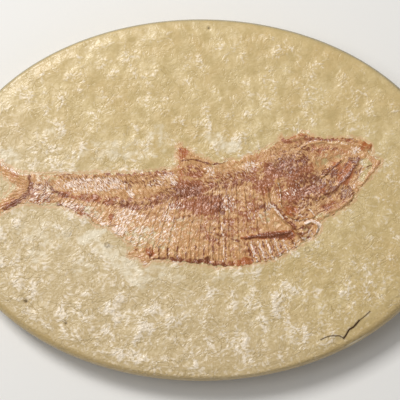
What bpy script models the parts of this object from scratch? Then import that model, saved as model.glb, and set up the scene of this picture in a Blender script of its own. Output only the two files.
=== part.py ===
"""Oval slab of tan limestone with a small fossil fish, Diplomystus, lying in its split top face.

The shape functions work in millimetres and mesh_object turns them into metres. The slab's centre is at
x = 0, y = 0 and its base at z = 0. Its length lies along X, and the fish's head points to +X.
"""

import math

import bmesh
import bpy
import numpy as np
from mathutils import Vector, noise
from mathutils.geometry import delaunay_2d_cdt

MM = 0.001

# The slab. Each step of the ground edge is how far in from the outline and how far down from the top it lies
SLAB_LENGTH = 56.0
SLAB_WIDTH = 40.0
SLAB_THICKNESS = 5.0
RIM_STEPS = 120
EDGE_STEPS = [(0.85, 0.14), (0.42, 0.36), (0.14, 0.75)]
BASE_ARRIS = 0.25
LUMP_PITCH = 2.9
LUMP_HEIGHT = 0.21
LUMP_SPACING = 1.15
LUMP_FADE_AT_RIM = 1.6
CALM_SHARE = 0.85

# The bed that the fossil lies in
FOSSIL_DEPTH = 0.55
CLEARANCE = 0.33

# The fossil's film of bone and skin, and the bones in it
OUTLINE_SPACING = 0.6
FILM_SPACING = 0.54
FILM_HEIGHT = 0.13
FILM_EDGE_HEIGHT = 0.04
FILM_ROUNDING = 0.6
FILM_LUMP_PITCH = 0.9
FILM_LUMP_HEIGHT = 0.06
VERTEBRA_SPACING = 0.86
VERTEBRA_HALF_WIDTH = 0.42
VERTEBRA_HEIGHT = 0.26
VERTEBRA_WAIST = 0.45
RIB_SPACING = 0.92
RIB_SIZE = (0.30, 0.14)
SPINE_SPACING = 1.0
SPINE_SIZE = (0.28, 0.10)
RAY_SPACING = 0.4
RAY_SIZE = (0.20, 0.10)
SCUTE_SPACING = 0.9
SCUTE_SIZE = (0.26, 0.15)
SCUTE_REACH = (-0.28, 1.0)
SCUTE_LEAN = 0.36
KNOB_CENTRE = (12.1, -3.2)
KNOB_RADIUS = 0.72
KNOB_SIZE = (0.30, 0.28)

# How finely curves are drawn, how near a line a filling point may lie, and which points count as one
CURVE_SAMPLES = 16
FILL_GAP_SHARE = 0.4
MERGE_DISTANCE = 0.03
SMOOTH_ANGLE = 40.0

# Calm places of the slab's top face, each with its half length and half width
CALM_ZONES = [((-7.2, -5.8), 6.5, 3.2), ((18.2, -0.5), 4.5, 6.0), ((18.0, -14.5), 4.0, 2.4)]
# Pits have a negative height. Each has its centre, radius and height
PITS_AND_BUMPS = [
    ((-19.2, -11.2), 0.26, -0.30),
    ((-14.8, -13.6), 0.20, -0.20),
    ((0.9, 18.9), 0.20, -0.20),
    ((11.7, -5.9), 0.34, 0.16),
    ((-10.4, -5.4), 0.34, 0.10),
]
CRACK = [(18.6, -12.3), (17.4, -13.3), (16.3, -14.2), (15.7, -15.2), (15.3, -15.0), (14.5, -14.9),
         (13.2, -15.4)]
CRACK_SIZE = (0.13, -0.35)
FLAKE = [(15.8, -16.2), (16.2, -15.7), (17.3, -15.4), (17.7, -15.0)]
FLAKE_SIZE = (0.5, -0.10)

# The fish's outline, from the tail along the back to the snout, and from there along the belly
BACK = [(-18.9, 2.9), (-16.7, 2.9), (-14.3, 2.9), (-11.1, 3.0), (-7.9, 3.0), (-5.3, 3.3), (-2.7, 3.6)]
DORSAL_FIN = [(-2.55, 4.5), (-2.4, 5.9), (-1.9, 5.6), (-1.0, 5.1), (0.9, 4.2), (1.8, 4.0), (2.9, 4.3)]
NAPE = [(4.2, 4.5), (5.4, 5.0), (6.3, 5.3), (7.2, 5.7), (8.1, 6.3), (8.6, 6.6)]
CREST = [(8.8, 7.3), (9.4, 6.8), (10.9, 7.4), (11.8, 7.5), (12.2, 7.2), (13.2, 6.85), (15.1, 6.85)]
ROOF_PLATE = [(17.0, 6.9), (17.8, 6.7), (18.3, 6.3), (18.9, 6.2), (18.95, 5.4), (18.5, 5.2)]
SNOUT = [(19.2, 4.8), (19.9, 4.4), (19.9, 3.8), (19.4, 3.2), (18.7, 2.4), (17.4, 0.9), (16.9, 0.0)]
THROAT = [(16.2, -0.8), (15.3, -1.3), (14.4, -1.9), (13.4, -2.4), (13.3, -3.1), (13.0, -3.7), (12.4, -4.3)]
BELLY = [(11.3, -4.9), (10.0, -5.7), (8.1, -6.6), (5.5, -7.2), (2.7, -7.5), (0.1, -7.2), (-2.7, -6.9),
         (-5.1, -6.7)]
PELVIC_FIN = [(-5.6, -7.1), (-6.2, -7.4), (-6.4, -7.0), (-6.9, -6.5), (-7.9, -6.35), (-8.1, -5.8), (-7.4, -5.4)]
ANAL_FIN = [(-8.0, -5.0), (-8.6, -4.3), (-9.4, -3.8), (-10.0, -3.1), (-11.5, -2.9), (-12.5, -1.9)]
TAIL_STALK = [(-13.3, -1.8), (-14.7, -1.0), (-15.8, -0.8), (-17.0, -0.8), (-18.9, -0.5)]
LOWER_LOBE = [(-20.2, -0.7), (-21.2, -1.25), (-22.1, -1.7), (-24.3, -2.3), (-23.2, -1.0), (-22.1, 0.0),
              (-21.3, 0.8)]
UPPER_LOBE = [(-20.9, 1.5), (-21.2, 2.0), (-22.1, 2.9), (-23.4, 4.1), (-24.9, 5.5), (-23.4, 5.0), (-22.1, 4.3),
              (-20.5, 3.3)]

# Lines of the skeleton. Ribs, spines and rays run from a line of feet to a line of tips
BACKBONE = [(-18.4, 1.5), (-16.2, 1.0), (-14.2, 0.5), (-11.5, 0.2), (-8.3, -0.4), (-5.8, -0.3), (-3.7, 0.3),
            (-1.6, 0.8), (1.6, 1.4), (4.7, 2.1), (7.6, 3.0)]
BELLY_KEEL = [(-9.2, -3.4), (-6.6, -5.1), (-4.6, -6.2), (-1.3, -6.9), (2.7, -7.2), (5.5, -6.9), (8.1, -6.2),
              (10.4, -5.0)]
RIB_FEET = [(-4.4, -0.6), (-0.6, 0.1), (2.9, 0.9), (6.6, 1.7)]
RIB_TIPS = [(-6.0, -4.9), (-1.6, -6.2), (2.7, -6.7), (7.6, -5.6)]
UPPER_SPINE_FEET = [(-14.6, 1.0), (-8.3, 0.2), (-3.4, 0.9), (1.6, 2.0), (6.6, 3.1)]
UPPER_SPINE_TIPS = [(-15.8, 2.5), (-10.0, 2.6), (-4.9, 2.9), (0.2, 3.9), (5.2, 4.7)]
LOWER_SPINE_FEET = [(-15.3, 0.2), (-11.5, -0.3), (-8.3, -0.9), (-5.4, -0.8)]
LOWER_SPINE_TIPS = [(-16.0, -0.5), (-12.8, -1.7), (-10.0, -2.7), (-7.4, -4.4)]
UPPER_RAY_FEET = [(-19.3, 2.6), (-19.0, 2.0), (-19.0, 1.6)]
UPPER_RAY_TIPS = [(-24.2, 5.0), (-22.6, 3.6), (-21.2, 2.3)]
LOWER_RAY_FEET = [(-19.0, 1.3), (-19.1, 0.8), (-19.4, 0.2)]
LOWER_RAY_TIPS = [(-21.5, 0.7), (-22.6, -0.5), (-23.9, -1.9)]
DORSAL_RAY_FEET = [(-2.3, 4.0), (1.2, 3.9)]
DORSAL_RAY_TIPS = [(-2.3, 5.5), (-0.2, 4.6)]

# The skull's ridges, each with its half width and height
SKULL_ROOF = ([(9.2, 6.5), (11.3, 6.9), (13.3, 6.6), (15.6, 6.6), (17.5, 6.0), (18.6, 5.7)], 0.45, 0.18)
ORBIT_RIM = ([(10.6, 5.2), (11.6, 6.1), (13.3, 6.35), (15.2, 6.15), (16.6, 5.6), (17.2, 4.9)], 0.30, 0.16)
EYE_FLOOR = ([(15.6, 4.4), (14.6, 3.6), (13.4, 2.5)], 0.28, 0.18)
UPPER_JAW = ([(17.5, 4.5), (17.0, 3.7), (15.8, 2.1), (14.4, 0.9), (13.0, 0.3)], 0.42, 0.26)
LIP = ([(19.6, 4.1), (18.4, 2.5), (17.2, 0.9)], 0.30, 0.13)
LOWER_JAW = ([(17.0, 0.4), (15.6, -0.6), (13.6, -1.8)], 0.40, 0.14)
GILL_COVER = ([(8.4, 2.2), (8.7, 1.0), (8.8, -0.6), (9.6, -1.8), (10.8, -2.3), (12.4, -1.9)], 0.28, 0.22)
SHOULDER = ([(7.2, 1.4), (7.5, -0.3), (8.4, -1.4), (9.3, -2.4), (10.4, -3.5), (11.2, -4.3)], 0.38, 0.28)
CHEST_FIN = ([(9.6, -3.6), (8.4, -3.8), (7.0, -4.0), (5.4, -4.1), (4.6, -4.2)], 0.42, 0.18)
RIDGES = [SKULL_ROOF, ORBIT_RIM, EYE_FLOOR, UPPER_JAW, LIP, LOWER_JAW, GILL_COVER, SHOULDER, CHEST_FIN]

# The skull's swellings and hollows, each with its centre, half length, half width, turn in degrees and height
BRAINCASE = ((10.4, 3.3), 3.0, 2.8, 20.0, 0.28)
CHEEK = ((12.9, 0.9), 2.0, 1.6, 30.0, 0.18)
JAW_JOINT = ((16.2, 0.5), 1.1, 0.9, 40.0, 0.15)
NOSE_PLATE = ((17.9, 5.9), 1.1, 0.7, -10.0, 0.10)
EYE_SOCKET = ((13.9, 3.9), 1.6, 1.0, 22.0, -0.28)
GILL_HOLLOW = ((10.2, -0.9), 1.1, 0.8, -10.0, -0.22)
SHOULDER_FOOT = ((11.3, -4.3), 0.6, 0.5, 0.0, 0.15)
SWELLINGS = [BRAINCASE, CHEEK, JAW_JOINT, NOSE_PLATE, EYE_SOCKET, GILL_HOLLOW, SHOULDER_FOOT]

# Materials: name, colour and roughness
STONE = ("tan limestone", (0.63, 0.49, 0.27, 1.0), 0.42)
BONE = ("red-brown fossil bone", (0.36, 0.15, 0.07, 1.0), 0.38)


def smooth_curve(points, spacing, closed=False):
    """Points every so often along a Catmull-Rom curve through the given ones."""
    points = np.array(points, float)
    if closed:
        points = np.vstack([points[-1], points, points[:2]])
    else:
        points = np.vstack([2 * points[0] - points[1], points, 2 * points[-1] - points[-2]])
    t = np.linspace(0.0, 1.0, CURVE_SAMPLES, endpoint=False)[:, None]
    pieces = []
    for a, b, c, d in zip(points, points[1:], points[2:], points[3:]):
        bend = (2 * a - 5 * b + 4 * c - d) * t**2 + (3 * b - a - 3 * c + d) * t**3
        pieces.append(0.5 * (2 * b + (c - a) * t + bend))
    dense = np.vstack([*pieces, points[-2]])
    along = lengths_along(dense)
    places = np.linspace(0.0, along[-1], max(2, round(along[-1] / spacing) + 1))
    curve = np.stack([np.interp(places, along, dense[:, axis]) for axis in (0, 1)], axis=1)
    return curve[:-1] if closed else curve


def lengths_along(line):
    return np.concatenate([[0.0], np.cumsum(np.linalg.norm(np.diff(line, axis=0), axis=1))])


def point_at(line, share):
    """The point at this share of the polyline's length."""
    along = lengths_along(line)
    return np.array([np.interp(share * along[-1], along, line[:, axis]) for axis in (0, 1)])


def distance_to(points, line, closed=False):
    """The distance from each point to the polyline, and how far along the line its nearest place is."""
    line = np.array(line, float)
    ends = np.vstack([line, line[:1]]) if closed else line
    nearest = np.full(len(points), np.inf)
    place = np.zeros(len(points))
    for start, end, before in zip(ends, ends[1:], lengths_along(ends)):
        step = end - start
        length = math.hypot(*step)
        share = np.clip((points - start) @ step / length**2, 0.0, 1.0)
        distance = np.linalg.norm(points - start - share[:, None] * step, axis=1)
        place = np.where(distance < nearest, before + share * length, place)
        nearest = np.minimum(nearest, distance)
    return nearest, place


def is_inside(points, outline):
    """Whether each point is inside the closed outline, by counting the edges that a ray to +X crosses."""
    inside = np.zeros(len(points), bool)
    for (x0, y0), (x1, y1) in zip(outline, np.roll(outline, -1, axis=0)):
        crosses = (y0 > points[:, 1]) != (y1 > points[:, 1])
        if y0 != y1:
            inside ^= crosses & (points[:, 0] < x0 + (points[:, 1] - y0) * (x1 - x0) / (y1 - y0))
    return inside


def normals_of(line, closed=False):
    """The unit normal at each point of a polyline, to the left of its direction."""
    if closed:
        along = np.roll(line, -1, axis=0) - np.roll(line, 1, axis=0)
    else:
        along = np.gradient(line, axis=0)
    along /= np.linalg.norm(along, axis=1)[:, None]
    return np.stack([-along[:, 1], along[:, 0]], axis=1)


def smoothstep(value):
    value = np.clip(value, 0.0, 1.0)
    return value * value * (3.0 - 2.0 * value)


def ridge(distance, half_width, height):
    return height * smoothstep(1.0 - distance / half_width)


def lumps(points, pitch):
    """Smooth lumps between about -1 and 1."""
    return np.array([noise.noise(Vector((x / pitch, y / pitch, 0.0))) for x, y in points])


def ellipse(half_length, half_width, steps):
    turn = np.linspace(0.0, 2.0 * math.pi, steps, endpoint=False)
    return np.stack([half_length * np.cos(turn), half_width * np.sin(turn)], axis=1)


def ellipse_reach(points, centre, half_length, half_width, turn=0.0):
    """0 at the ellipse's centre and 1 on its edge."""
    x, y = (points - np.array(centre)).T
    cos, sin = math.cos(math.radians(turn)), math.sin(math.radians(turn))
    return np.hypot((x * cos + y * sin) / half_length, (y * cos - x * sin) / half_width)


def fish_outline():
    parts = [BACK, DORSAL_FIN, NAPE, CREST, ROOF_PLATE, SNOUT, THROAT, BELLY, PELVIC_FIN, ANAL_FIN, TAIL_STALK,
             LOWER_LOBE, UPPER_LOBE]
    return smooth_curve(sum(parts, []), OUTLINE_SPACING, closed=True)


def bed_outline(outline):
    """The fish's outline moved outwards, without the loops that this makes in its hollow corners."""
    dense = smooth_curve(outline, 0.5 * OUTLINE_SPACING, closed=True)
    moved = dense + 1.1 * CLEARANCE * normals_of(dense, closed=True)
    distance, _ = distance_to(moved, outline, closed=True)
    return moved[distance > CLEARANCE][::2]


def comb(feet, tips, spacing, points_each):
    """Straight lines from one curve to another, at even distances along the first."""
    feet = smooth_curve(feet, spacing)
    tips = smooth_curve(tips, spacing)
    share = np.linspace(0.0, 1.0, points_each)[:, None]
    places = np.linspace(0.0, 1.0, len(feet))
    return [foot + (point_at(tips, place) - foot) * share for foot, place in zip(feet, places)]


def scutes():
    """The belly scutes: short bars across the keel."""
    keel = smooth_curve(BELLY_KEEL, SCUTE_SPACING)
    outer, inner = SCUTE_REACH
    lean = np.array([-SCUTE_LEAN, 0.0])
    return [np.array([p + outer * n, p + inner * n + lean]) for p, n in zip(keel, normals_of(keel))]


def bone_groups():
    """The repeated thin bones: each group of lines with its half width and height."""
    return [
        (comb(RIB_FEET, RIB_TIPS, RIB_SPACING, 5), *RIB_SIZE),
        (comb(UPPER_SPINE_FEET, UPPER_SPINE_TIPS, SPINE_SPACING, 3), *SPINE_SIZE),
        (comb(LOWER_SPINE_FEET, LOWER_SPINE_TIPS, SPINE_SPACING, 3), *SPINE_SIZE),
        (scutes(), *SCUTE_SIZE),
        (comb(UPPER_RAY_FEET, UPPER_RAY_TIPS, RAY_SPACING, 5), *RAY_SIZE),
        (comb(LOWER_RAY_FEET, LOWER_RAY_TIPS, RAY_SPACING, 5), *RAY_SIZE),
        (comb(DORSAL_RAY_FEET, DORSAL_RAY_TIPS, 2 * RAY_SPACING, 3), *RAY_SIZE),
    ]


def backbone():
    return smooth_curve(BACKBONE, 0.5 * VERTEBRA_SPACING)


def fish_relief(points, outline):
    """The height of the fossil's surface over the slab's mean top level."""
    edge, _ = distance_to(points, outline, closed=True)
    film = FILM_EDGE_HEIGHT + (FILM_HEIGHT - FILM_EDGE_HEIGHT) * smoothstep(edge / FILM_ROUNDING)
    swell = FILM_LUMP_HEIGHT * lumps(points, FILM_LUMP_PITCH)
    for centre, half_length, half_width, turn, height in SWELLINGS:
        swell += ridge(ellipse_reach(points, centre, half_length, half_width, turn), 1.0, height)
    bones = np.zeros(len(points))
    for line, half_width, height in RIDGES:
        bones = np.maximum(bones, ridge(distance_to(points, line)[0], half_width, height))
    for group, half_width, height in bone_groups():
        for line in group:
            bones = np.maximum(bones, ridge(distance_to(points, line)[0], half_width, height))
    from_spine, place = distance_to(points, backbone())
    swelling = 0.5 + 0.5 * np.cos(2.0 * math.pi * place / VERTEBRA_SPACING)
    vertebrae = VERTEBRA_WAIST + (1.0 - VERTEBRA_WAIST) * swelling
    bones = np.maximum(bones, vertebrae * ridge(from_spine, VERTEBRA_HALF_WIDTH, VERTEBRA_HEIGHT))
    from_knob = np.abs(np.linalg.norm(points - np.array(KNOB_CENTRE), axis=1) - KNOB_RADIUS)
    bones = np.maximum(bones, ridge(from_knob, *KNOB_SIZE))
    inward = smoothstep(2.0 * edge / FILM_ROUNDING)
    return film + inward * np.maximum(swell + bones, FILM_EDGE_HEIGHT - film)


def stone_relief(points):
    """The height of the slab's top face over its mean level."""
    inset, drop = EDGE_STEPS[0]
    reach = ellipse_reach(points, (0.0, 0.0), 0.5 * SLAB_LENGTH - inset, 0.5 * SLAB_WIDTH - inset)
    inward = smoothstep((1.0 - reach) * 0.5 * SLAB_WIDTH / LUMP_FADE_AT_RIM)
    calm = np.ones(len(points))
    for centre, half_length, half_width in CALM_ZONES:
        calm *= 1.0 - ridge(ellipse_reach(points, centre, half_length, half_width), 1.5, CALM_SHARE)
    height = LUMP_HEIGHT * lumps(points, LUMP_PITCH) * calm * inward - drop * (1.0 - inward)
    for centre, radius, rise in PITS_AND_BUMPS:
        height += ridge(np.linalg.norm(points - np.array(centre), axis=1), 2.0 * radius, rise)
    height += ridge(distance_to(points, CRACK)[0], *CRACK_SIZE)
    return height + ridge(distance_to(points, FLAKE)[0], *FLAKE_SIZE)


def hex_grid(half_x, half_y, spacing):
    columns = np.arange(-half_x, half_x, spacing)
    rows = enumerate(np.arange(-half_y, half_y, spacing * math.sqrt(0.75)))
    return np.array([(x + 0.5 * spacing * (row % 2), y) for row, y in rows for x in columns])


def clear_of(points, others, gap):
    """The points that are at least this far from all the others."""
    distance = np.linalg.norm(points[:, None, :] - others[None, :, :], axis=2)
    return points[distance.min(axis=1) > gap]


def relief_mesh(outline, hole, lines, rings, spacing):
    """Triangles inside the outline and outside the hole, with edges along every line and ring."""
    points = []
    edges = []
    holes = [] if hole is None else [hole]
    for ring in [outline, *holes, *rings]:
        first = len(points)
        points += ring.tolist()
        edges += [(first + i, first + (i + 1) % len(ring)) for i in range(len(ring))]
    for line in lines:
        first = len(points)
        points += line.tolist()
        edges += [(first + i, first + i + 1) for i in range(len(line) - 1)]
    fill = hex_grid(*(np.abs(outline).max(axis=0) + spacing), spacing)
    fill = clear_of(fill[is_inside(fill, outline)], np.array(points), FILL_GAP_SHARE * spacing)
    for each in holes:
        fill = fill[~is_inside(fill, each)]
    points += fill.tolist()
    result = delaunay_2d_cdt([Vector(p) for p in points], edges, [], 0, MERGE_DISTANCE)
    corners = np.array([tuple(p) for p in result[0]])
    faces = np.array([tuple(face) for face in result[2]])
    middles = corners[faces].mean(axis=1)
    kept = is_inside(middles, outline)
    for each in holes:
        kept &= ~is_inside(middles, each)
    return corners, faces[kept]


def bmesh_sheet(corners, heights, faces):
    sheet = bmesh.new()
    made = {int(i): sheet.verts.new((*corners[i], heights[i])) for i in np.unique(faces)}
    for face in faces:
        sheet.faces.new([made[int(i)] for i in face])
    return sheet


def boundary_loops(sheet):
    """The sheet's open edges grouped into loops, the one that reaches furthest along X first."""
    left = {edge for edge in sheet.edges if edge.is_boundary}
    loops = []
    while left:
        ahead = [left.pop()]
        loop = list(ahead)
        while ahead:
            found = {edge for vert in ahead.pop().verts for edge in vert.link_edges if edge in left}
            left -= found
            loop += found
            ahead += found
        loops.append(loop)
    return sorted(loops, key=lambda loop: -max(edge.verts[0].co.x for edge in loop))


def extrude_loop(sheet, edges, move):
    """Extrudes the loop, moves each new point by the given function, and returns the new loop."""
    result = bmesh.ops.extrude_edge_only(sheet, edges=edges)["geom"]
    for vert in (item for item in result if isinstance(item, bmesh.types.BMVert)):
        vert.co = move(vert.co)
    return [item for item in result if isinstance(item, bmesh.types.BMEdge) and item.is_boundary]


def close_flat(sheet, edges, height):
    """Extrudes the loop straight down to this height and closes it with a flat face."""
    edges = extrude_loop(sheet, edges, lambda place: Vector((place.x, place.y, height)))
    bmesh.ops.contextual_create(sheet, geom=edges)


def rim_point(place, inset, height):
    """The rim's point in the same direction, this far in from the slab's outline and this high."""
    turn = math.atan2(place.y / SLAB_WIDTH, place.x / SLAB_LENGTH)
    half_length = 0.5 * SLAB_LENGTH - inset
    half_width = 0.5 * SLAB_WIDTH - inset
    return Vector((half_length * math.cos(turn), half_width * math.sin(turn), height))


def material_of(name, colour, roughness):
    material = bpy.data.materials.new(name)
    material.use_nodes = True
    shader = material.node_tree.nodes["Principled BSDF"]
    shader.inputs["Base Color"].default_value = colour
    shader.inputs["Roughness"].default_value = roughness
    shader.inputs["Metallic"].default_value = 0.0
    return material


def mesh_object(name, sheet, material):
    """Turns the closed mesh's faces outwards, scales it to metres and puts it in the scene."""
    bmesh.ops.recalc_face_normals(sheet, faces=sheet.faces)
    bmesh.ops.scale(sheet, vec=(MM, MM, MM), verts=sheet.verts)
    mesh = bpy.data.meshes.new(name)
    sheet.to_mesh(mesh)
    sheet.free()
    mesh.shade_smooth()
    mesh.set_sharp_from_angle(angle=math.radians(SMOOTH_ANGLE))
    mesh.materials.append(material)
    bpy.context.scene.collection.objects.link(bpy.data.objects.new(name, mesh))


def make_fish(outline):
    """The fossil: a thin plate with the skeleton in low relief on its top and a flat underside."""
    lines = [smooth_curve(line, FILM_SPACING) for line, _, _ in RIDGES]
    for group, _, _ in bone_groups():
        lines += group
    ribs = comb(RIB_FEET, RIB_TIPS, RIB_SPACING, 5)
    lines += [0.5 * (rib + next_rib) for rib, next_rib in zip(ribs, ribs[1:])]
    spine = backbone()
    spine_side = VERTEBRA_HALF_WIDTH * normals_of(spine)
    lines += [spine, spine + spine_side, spine - spine_side]
    rings = []
    for radius in (KNOB_RADIUS - KNOB_SIZE[0], KNOB_RADIUS, KNOB_RADIUS + KNOB_SIZE[0]):
        rings.append(np.array(KNOB_CENTRE) + ellipse(radius, radius, 10))
    corners, faces = relief_mesh(outline, None, lines, rings, FILM_SPACING)
    sheet = bmesh_sheet(corners, SLAB_THICKNESS + fish_relief(corners, outline), faces)
    close_flat(sheet, boundary_loops(sheet)[0], SLAB_THICKNESS - FOSSIL_DEPTH)
    mesh_object("fossil_fish", sheet, material_of(*BONE))


def make_slab(outline):
    """The slab: a lumpy top with the fish's bed in it, a ground edge, and a flat base."""
    inset, _ = EDGE_STEPS[0]
    rim = ellipse(0.5 * SLAB_LENGTH - inset, 0.5 * SLAB_WIDTH - inset, RIM_STEPS)
    crack = np.array(CRACK)
    crack_side = CRACK_SIZE[0] * normals_of(crack)
    crack_side[[0, -1]] *= 0.3
    lines = [crack, crack + crack_side, crack - crack_side, np.array(FLAKE)]
    rings = []
    for centre, radius, _ in PITS_AND_BUMPS:
        rings += [np.array(centre) + ellipse(share * radius, share * radius, 7) for share in (0.7, 1.8)]
    corners, faces = relief_mesh(rim, bed_outline(outline), lines, rings, LUMP_SPACING)
    sheet = bmesh_sheet(corners, SLAB_THICKNESS + stone_relief(corners), faces)
    edge, bed = boundary_loops(sheet)
    close_flat(sheet, bed, SLAB_THICKNESS - FOSSIL_DEPTH - CLEARANCE)
    steps = [(side, SLAB_THICKNESS - drop) for side, drop in EDGE_STEPS[1:]]
    for side, height in [*steps, (0.0, BASE_ARRIS), (BASE_ARRIS, 0.0)]:
        edge = extrude_loop(sheet, edge, lambda place: rim_point(place, side, height))
    bmesh.ops.contextual_create(sheet, geom=edge)
    mesh_object("limestone_slab", sheet, material_of(*STONE))


def main():
    for item in list(bpy.data.objects):
        bpy.data.objects.remove(item, do_unlink=True)
    outline = fish_outline()
    make_slab(outline)
    make_fish(outline)


main()
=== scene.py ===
"""Looks of an oval slab of tan limestone with a small fossil fish lying in its split top face.

Shapes are worked out in millimetres, and finish_piece turns them into metres. The slab's centre is at
x = 0 and y = 0, and its base at z = 0. The fish's head points to +X.
"""

import math

import bmesh
import bpy
import numpy as np
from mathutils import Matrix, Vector, noise
from mathutils.geometry import delaunay_2d_cdt


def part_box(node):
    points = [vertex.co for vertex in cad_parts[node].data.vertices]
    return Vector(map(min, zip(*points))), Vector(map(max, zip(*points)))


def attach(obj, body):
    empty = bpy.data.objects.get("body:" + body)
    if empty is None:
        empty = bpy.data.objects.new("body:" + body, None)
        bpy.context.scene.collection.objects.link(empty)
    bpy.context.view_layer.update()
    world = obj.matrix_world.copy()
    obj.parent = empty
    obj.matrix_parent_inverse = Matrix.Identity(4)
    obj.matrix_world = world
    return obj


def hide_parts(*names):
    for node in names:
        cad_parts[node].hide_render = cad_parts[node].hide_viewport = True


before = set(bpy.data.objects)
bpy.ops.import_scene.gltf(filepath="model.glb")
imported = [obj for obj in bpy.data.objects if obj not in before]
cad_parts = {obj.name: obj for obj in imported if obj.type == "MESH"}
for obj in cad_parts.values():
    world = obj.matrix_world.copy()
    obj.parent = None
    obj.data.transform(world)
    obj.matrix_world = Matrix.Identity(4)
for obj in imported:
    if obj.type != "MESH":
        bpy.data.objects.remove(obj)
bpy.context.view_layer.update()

MM = 0.001

# The slab's size comes from its CAD part in model.glb. Its top level is the mean height of the lumpy face
_, SLAB_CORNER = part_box("limestone_slab")
HALF_LENGTH = SLAB_CORNER.x / MM
HALF_WIDTH = SLAB_CORNER.y / MM
TOP_LEVEL = 5.0
# The small slope between the side and the base, and the number of points round the rim and down the side
BASE_ARRIS = 0.25
RIM_STEPS = 980
SIDE_STEPS = 9
# The ground edge: how far in from the outline and how far down from the top level each step lies
EDGE_STEPS = [(0.85, 0.14), (0.64, 0.23), (0.42, 0.36), (0.27, 0.53), (0.14, 0.75), (0.05, 1.05),
              (0.0, 1.5)]
TOP_INSET, TOP_DROP = EDGE_STEPS[0]
# Where it is widest, in degrees round from +X with the spread, and its share of that width elsewhere
EDGE_WIDEST = [(-133.0, 45.0), (-40.0, 30.0)]
EDGE_NARROW = 0.45

# The split face's lumps, the bumps on them and the grains on those, each with pitch and height
LUMPS = (2.9, 0.12)
BUMPS = (1.2, 0.12)
GRAINS = (0.42, 0.036)
# How far inside the ground edge the lumps have their full height
LUMP_FADE_AT_RIM = 1.1
# The bumps stand in clusters: their pitch and how sharply they begin
CLUSTER_PITCH = 1.3
CLUSTER_CONTRAST = 1.3
# The least share of the bumps' height between the clusters, in the calm zones and at the rim
BUMPS_BETWEEN = 0.6
BUMPS_IN_ZONES = 0.2
BUMPS_AT_RIM = 0.3
# How much bumps and grains count for where the stone looks raised, and the least of that in calm zones
RAISED_BY_BUMPS = 0.8
RAISED_BY_GRAINS = 0.3
RAISED_IN_ZONES = 0.3
# Where the lumps are calmer than elsewhere: centre, half length, half width and share of their height
ZONES = [
    ((-7.2, -5.8), 6.5, 3.2, 0.15),
    ((18.2, -0.5), 4.5, 6.0, 0.15),
    ((18.0, -14.5), 4.0, 2.4, 0.15),
    ((12.6, -6.6), 3.4, 2.2, 0.2),
    ((-12.5, -11.5), 5.0, 3.5, 0.7),
    ((1.5, 13.0), 5.0, 5.0, 0.6),
    ((-21.0, 7.0), 4.5, 4.5, 0.7),
    ((-17.0, -6.5), 5.0, 4.0, 0.7),
    ((-9.5, 11.5), 9.5, 7.0, 0.65),
    ((11.5, 12.5), 8.5, 6.0, 0.65),
    ((-21.5, 1.2), 1.8, 1.3, 0.2),
]
# Where the bumps are drawn out across the slab, and how many times longer they are there along X and Y
COMBED_ZONE = ((7.0, -13.5), 10.0, 6.5)
COMBED_PITCH = (0.8, 2.0)
# How many times their half length and half width the calm zones and the combed zone reach
ZONE_FADE = 1.5
COMBED_FADE = 1.3
# The stone's fine grain: how many times longer than wide it is, and its turn in degrees
STONE_GRAIN = (1.15, 15.0)
# How the grain wanders: pitch and distance
STONE_WARP = (1.3, 0.40)
# Thin grooves where noise of this pitch is halfway, and how far from halfway they reach
WRINKLES = (0.75, 0.16)
# They come and go at this pitch
WRINKLE_SPREAD = 1.875
# How strong the fine grain is, and how strongly the stone gets a greyer, flatter tint, a painted sheen
# towards
# the lower left: in the middle, and the change per millimetre of X, Y
ROUGH = (0.57, -0.003, -0.013)
SHEEN_HAZE = (0.1, -0.045, -0.06)
# The layers in the stone's side wall: how much X, Y and Z count in their noise, and their thickness
LAYER_SQUEEZE = (0.06, 0.06, 1.0)
LAYER_THICKNESS = 0.35
# Pits, with centre, radius and height, and how many radii the dent and the dark spot reach
PITS = [((-19.2, -11.2), 0.26, -0.30), ((-14.8, -13.6), 0.20, -0.20), ((0.9, 18.9), 0.20, -0.20)]
PIT_SPREAD = 1.6
PIT_DARK = 1.1
# Small raised rings, with centre, radius and darkness, and the half width and height of all
RINGS = [((-10.3, -5.0), 0.22, 0.8), ((11.75, -5.5), 0.28, 0.45)]
RING_HALF_WIDTH = 0.12
RING_HEIGHT = 0.07
# Smooth and pale patches of the stone, in the same form as the fossil's patches below. They are partly the
# stone's paler scraped face and partly painted sheen and highlights
SMOOTH_AND_SHEEN_PATCHES = {
    "behind the belly": ((-7.4, -8.1), 2.2, 1.2, 0.6, -55),
    "below the stalk": ((-12.2, -4.2), 1.6, 0.9, 0.6, 15),
    "left": ((-18, -6.2), 1.2, 0.9, 0.45, 10),
    "between": ((-9.4, -6.3), 3.4, 1.4, 0.5, -35),
    "streak behind the flank": ((-11.6, -3.9), 1.5, 0.4, 0.8, 25),
    "belly": ((-4.2, -8), 2.8, 0.8, 0.45, -15),
    "above the back": ((-8.8, 5.4), 6, 1.4, 0.4),
    "above the tail": ((-21.3, 4.7), 1.7, 1.2, 0.5),
    "above the stalk": ((-13.2, 4.6), 2.2, 0.7, 0.3),
    "over the stalk": ((-16.2, 7.3), 1.6, 0.9, 0.35),
    "behind the fin": ((-4.6, 7.2), 1.7, 1.3, 0.38),
    "over the fin": ((1.6, 6.8), 1.9, 0.8, 0.45, -10),
    "before the fin": ((3.4, 5.8), 1.4, 0.8, 0.6),
    "below the belly": ((3, -8.5), 3.2, 0.7, 0.35),
    "rear of the belly": ((-5.9, -8.7), 1.4, 0.8, 0.4),
    "left of the haze": ((-13, -7.3), 1.7, 1.2, 0.4, 20),
    "under the stalk": ((-14.2, -3.1), 1.6, 0.7, 0.25, -20),
    "below the tail": ((-17.5, -3.8), 4.5, 1.7, 0.35, -8),
}
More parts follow.
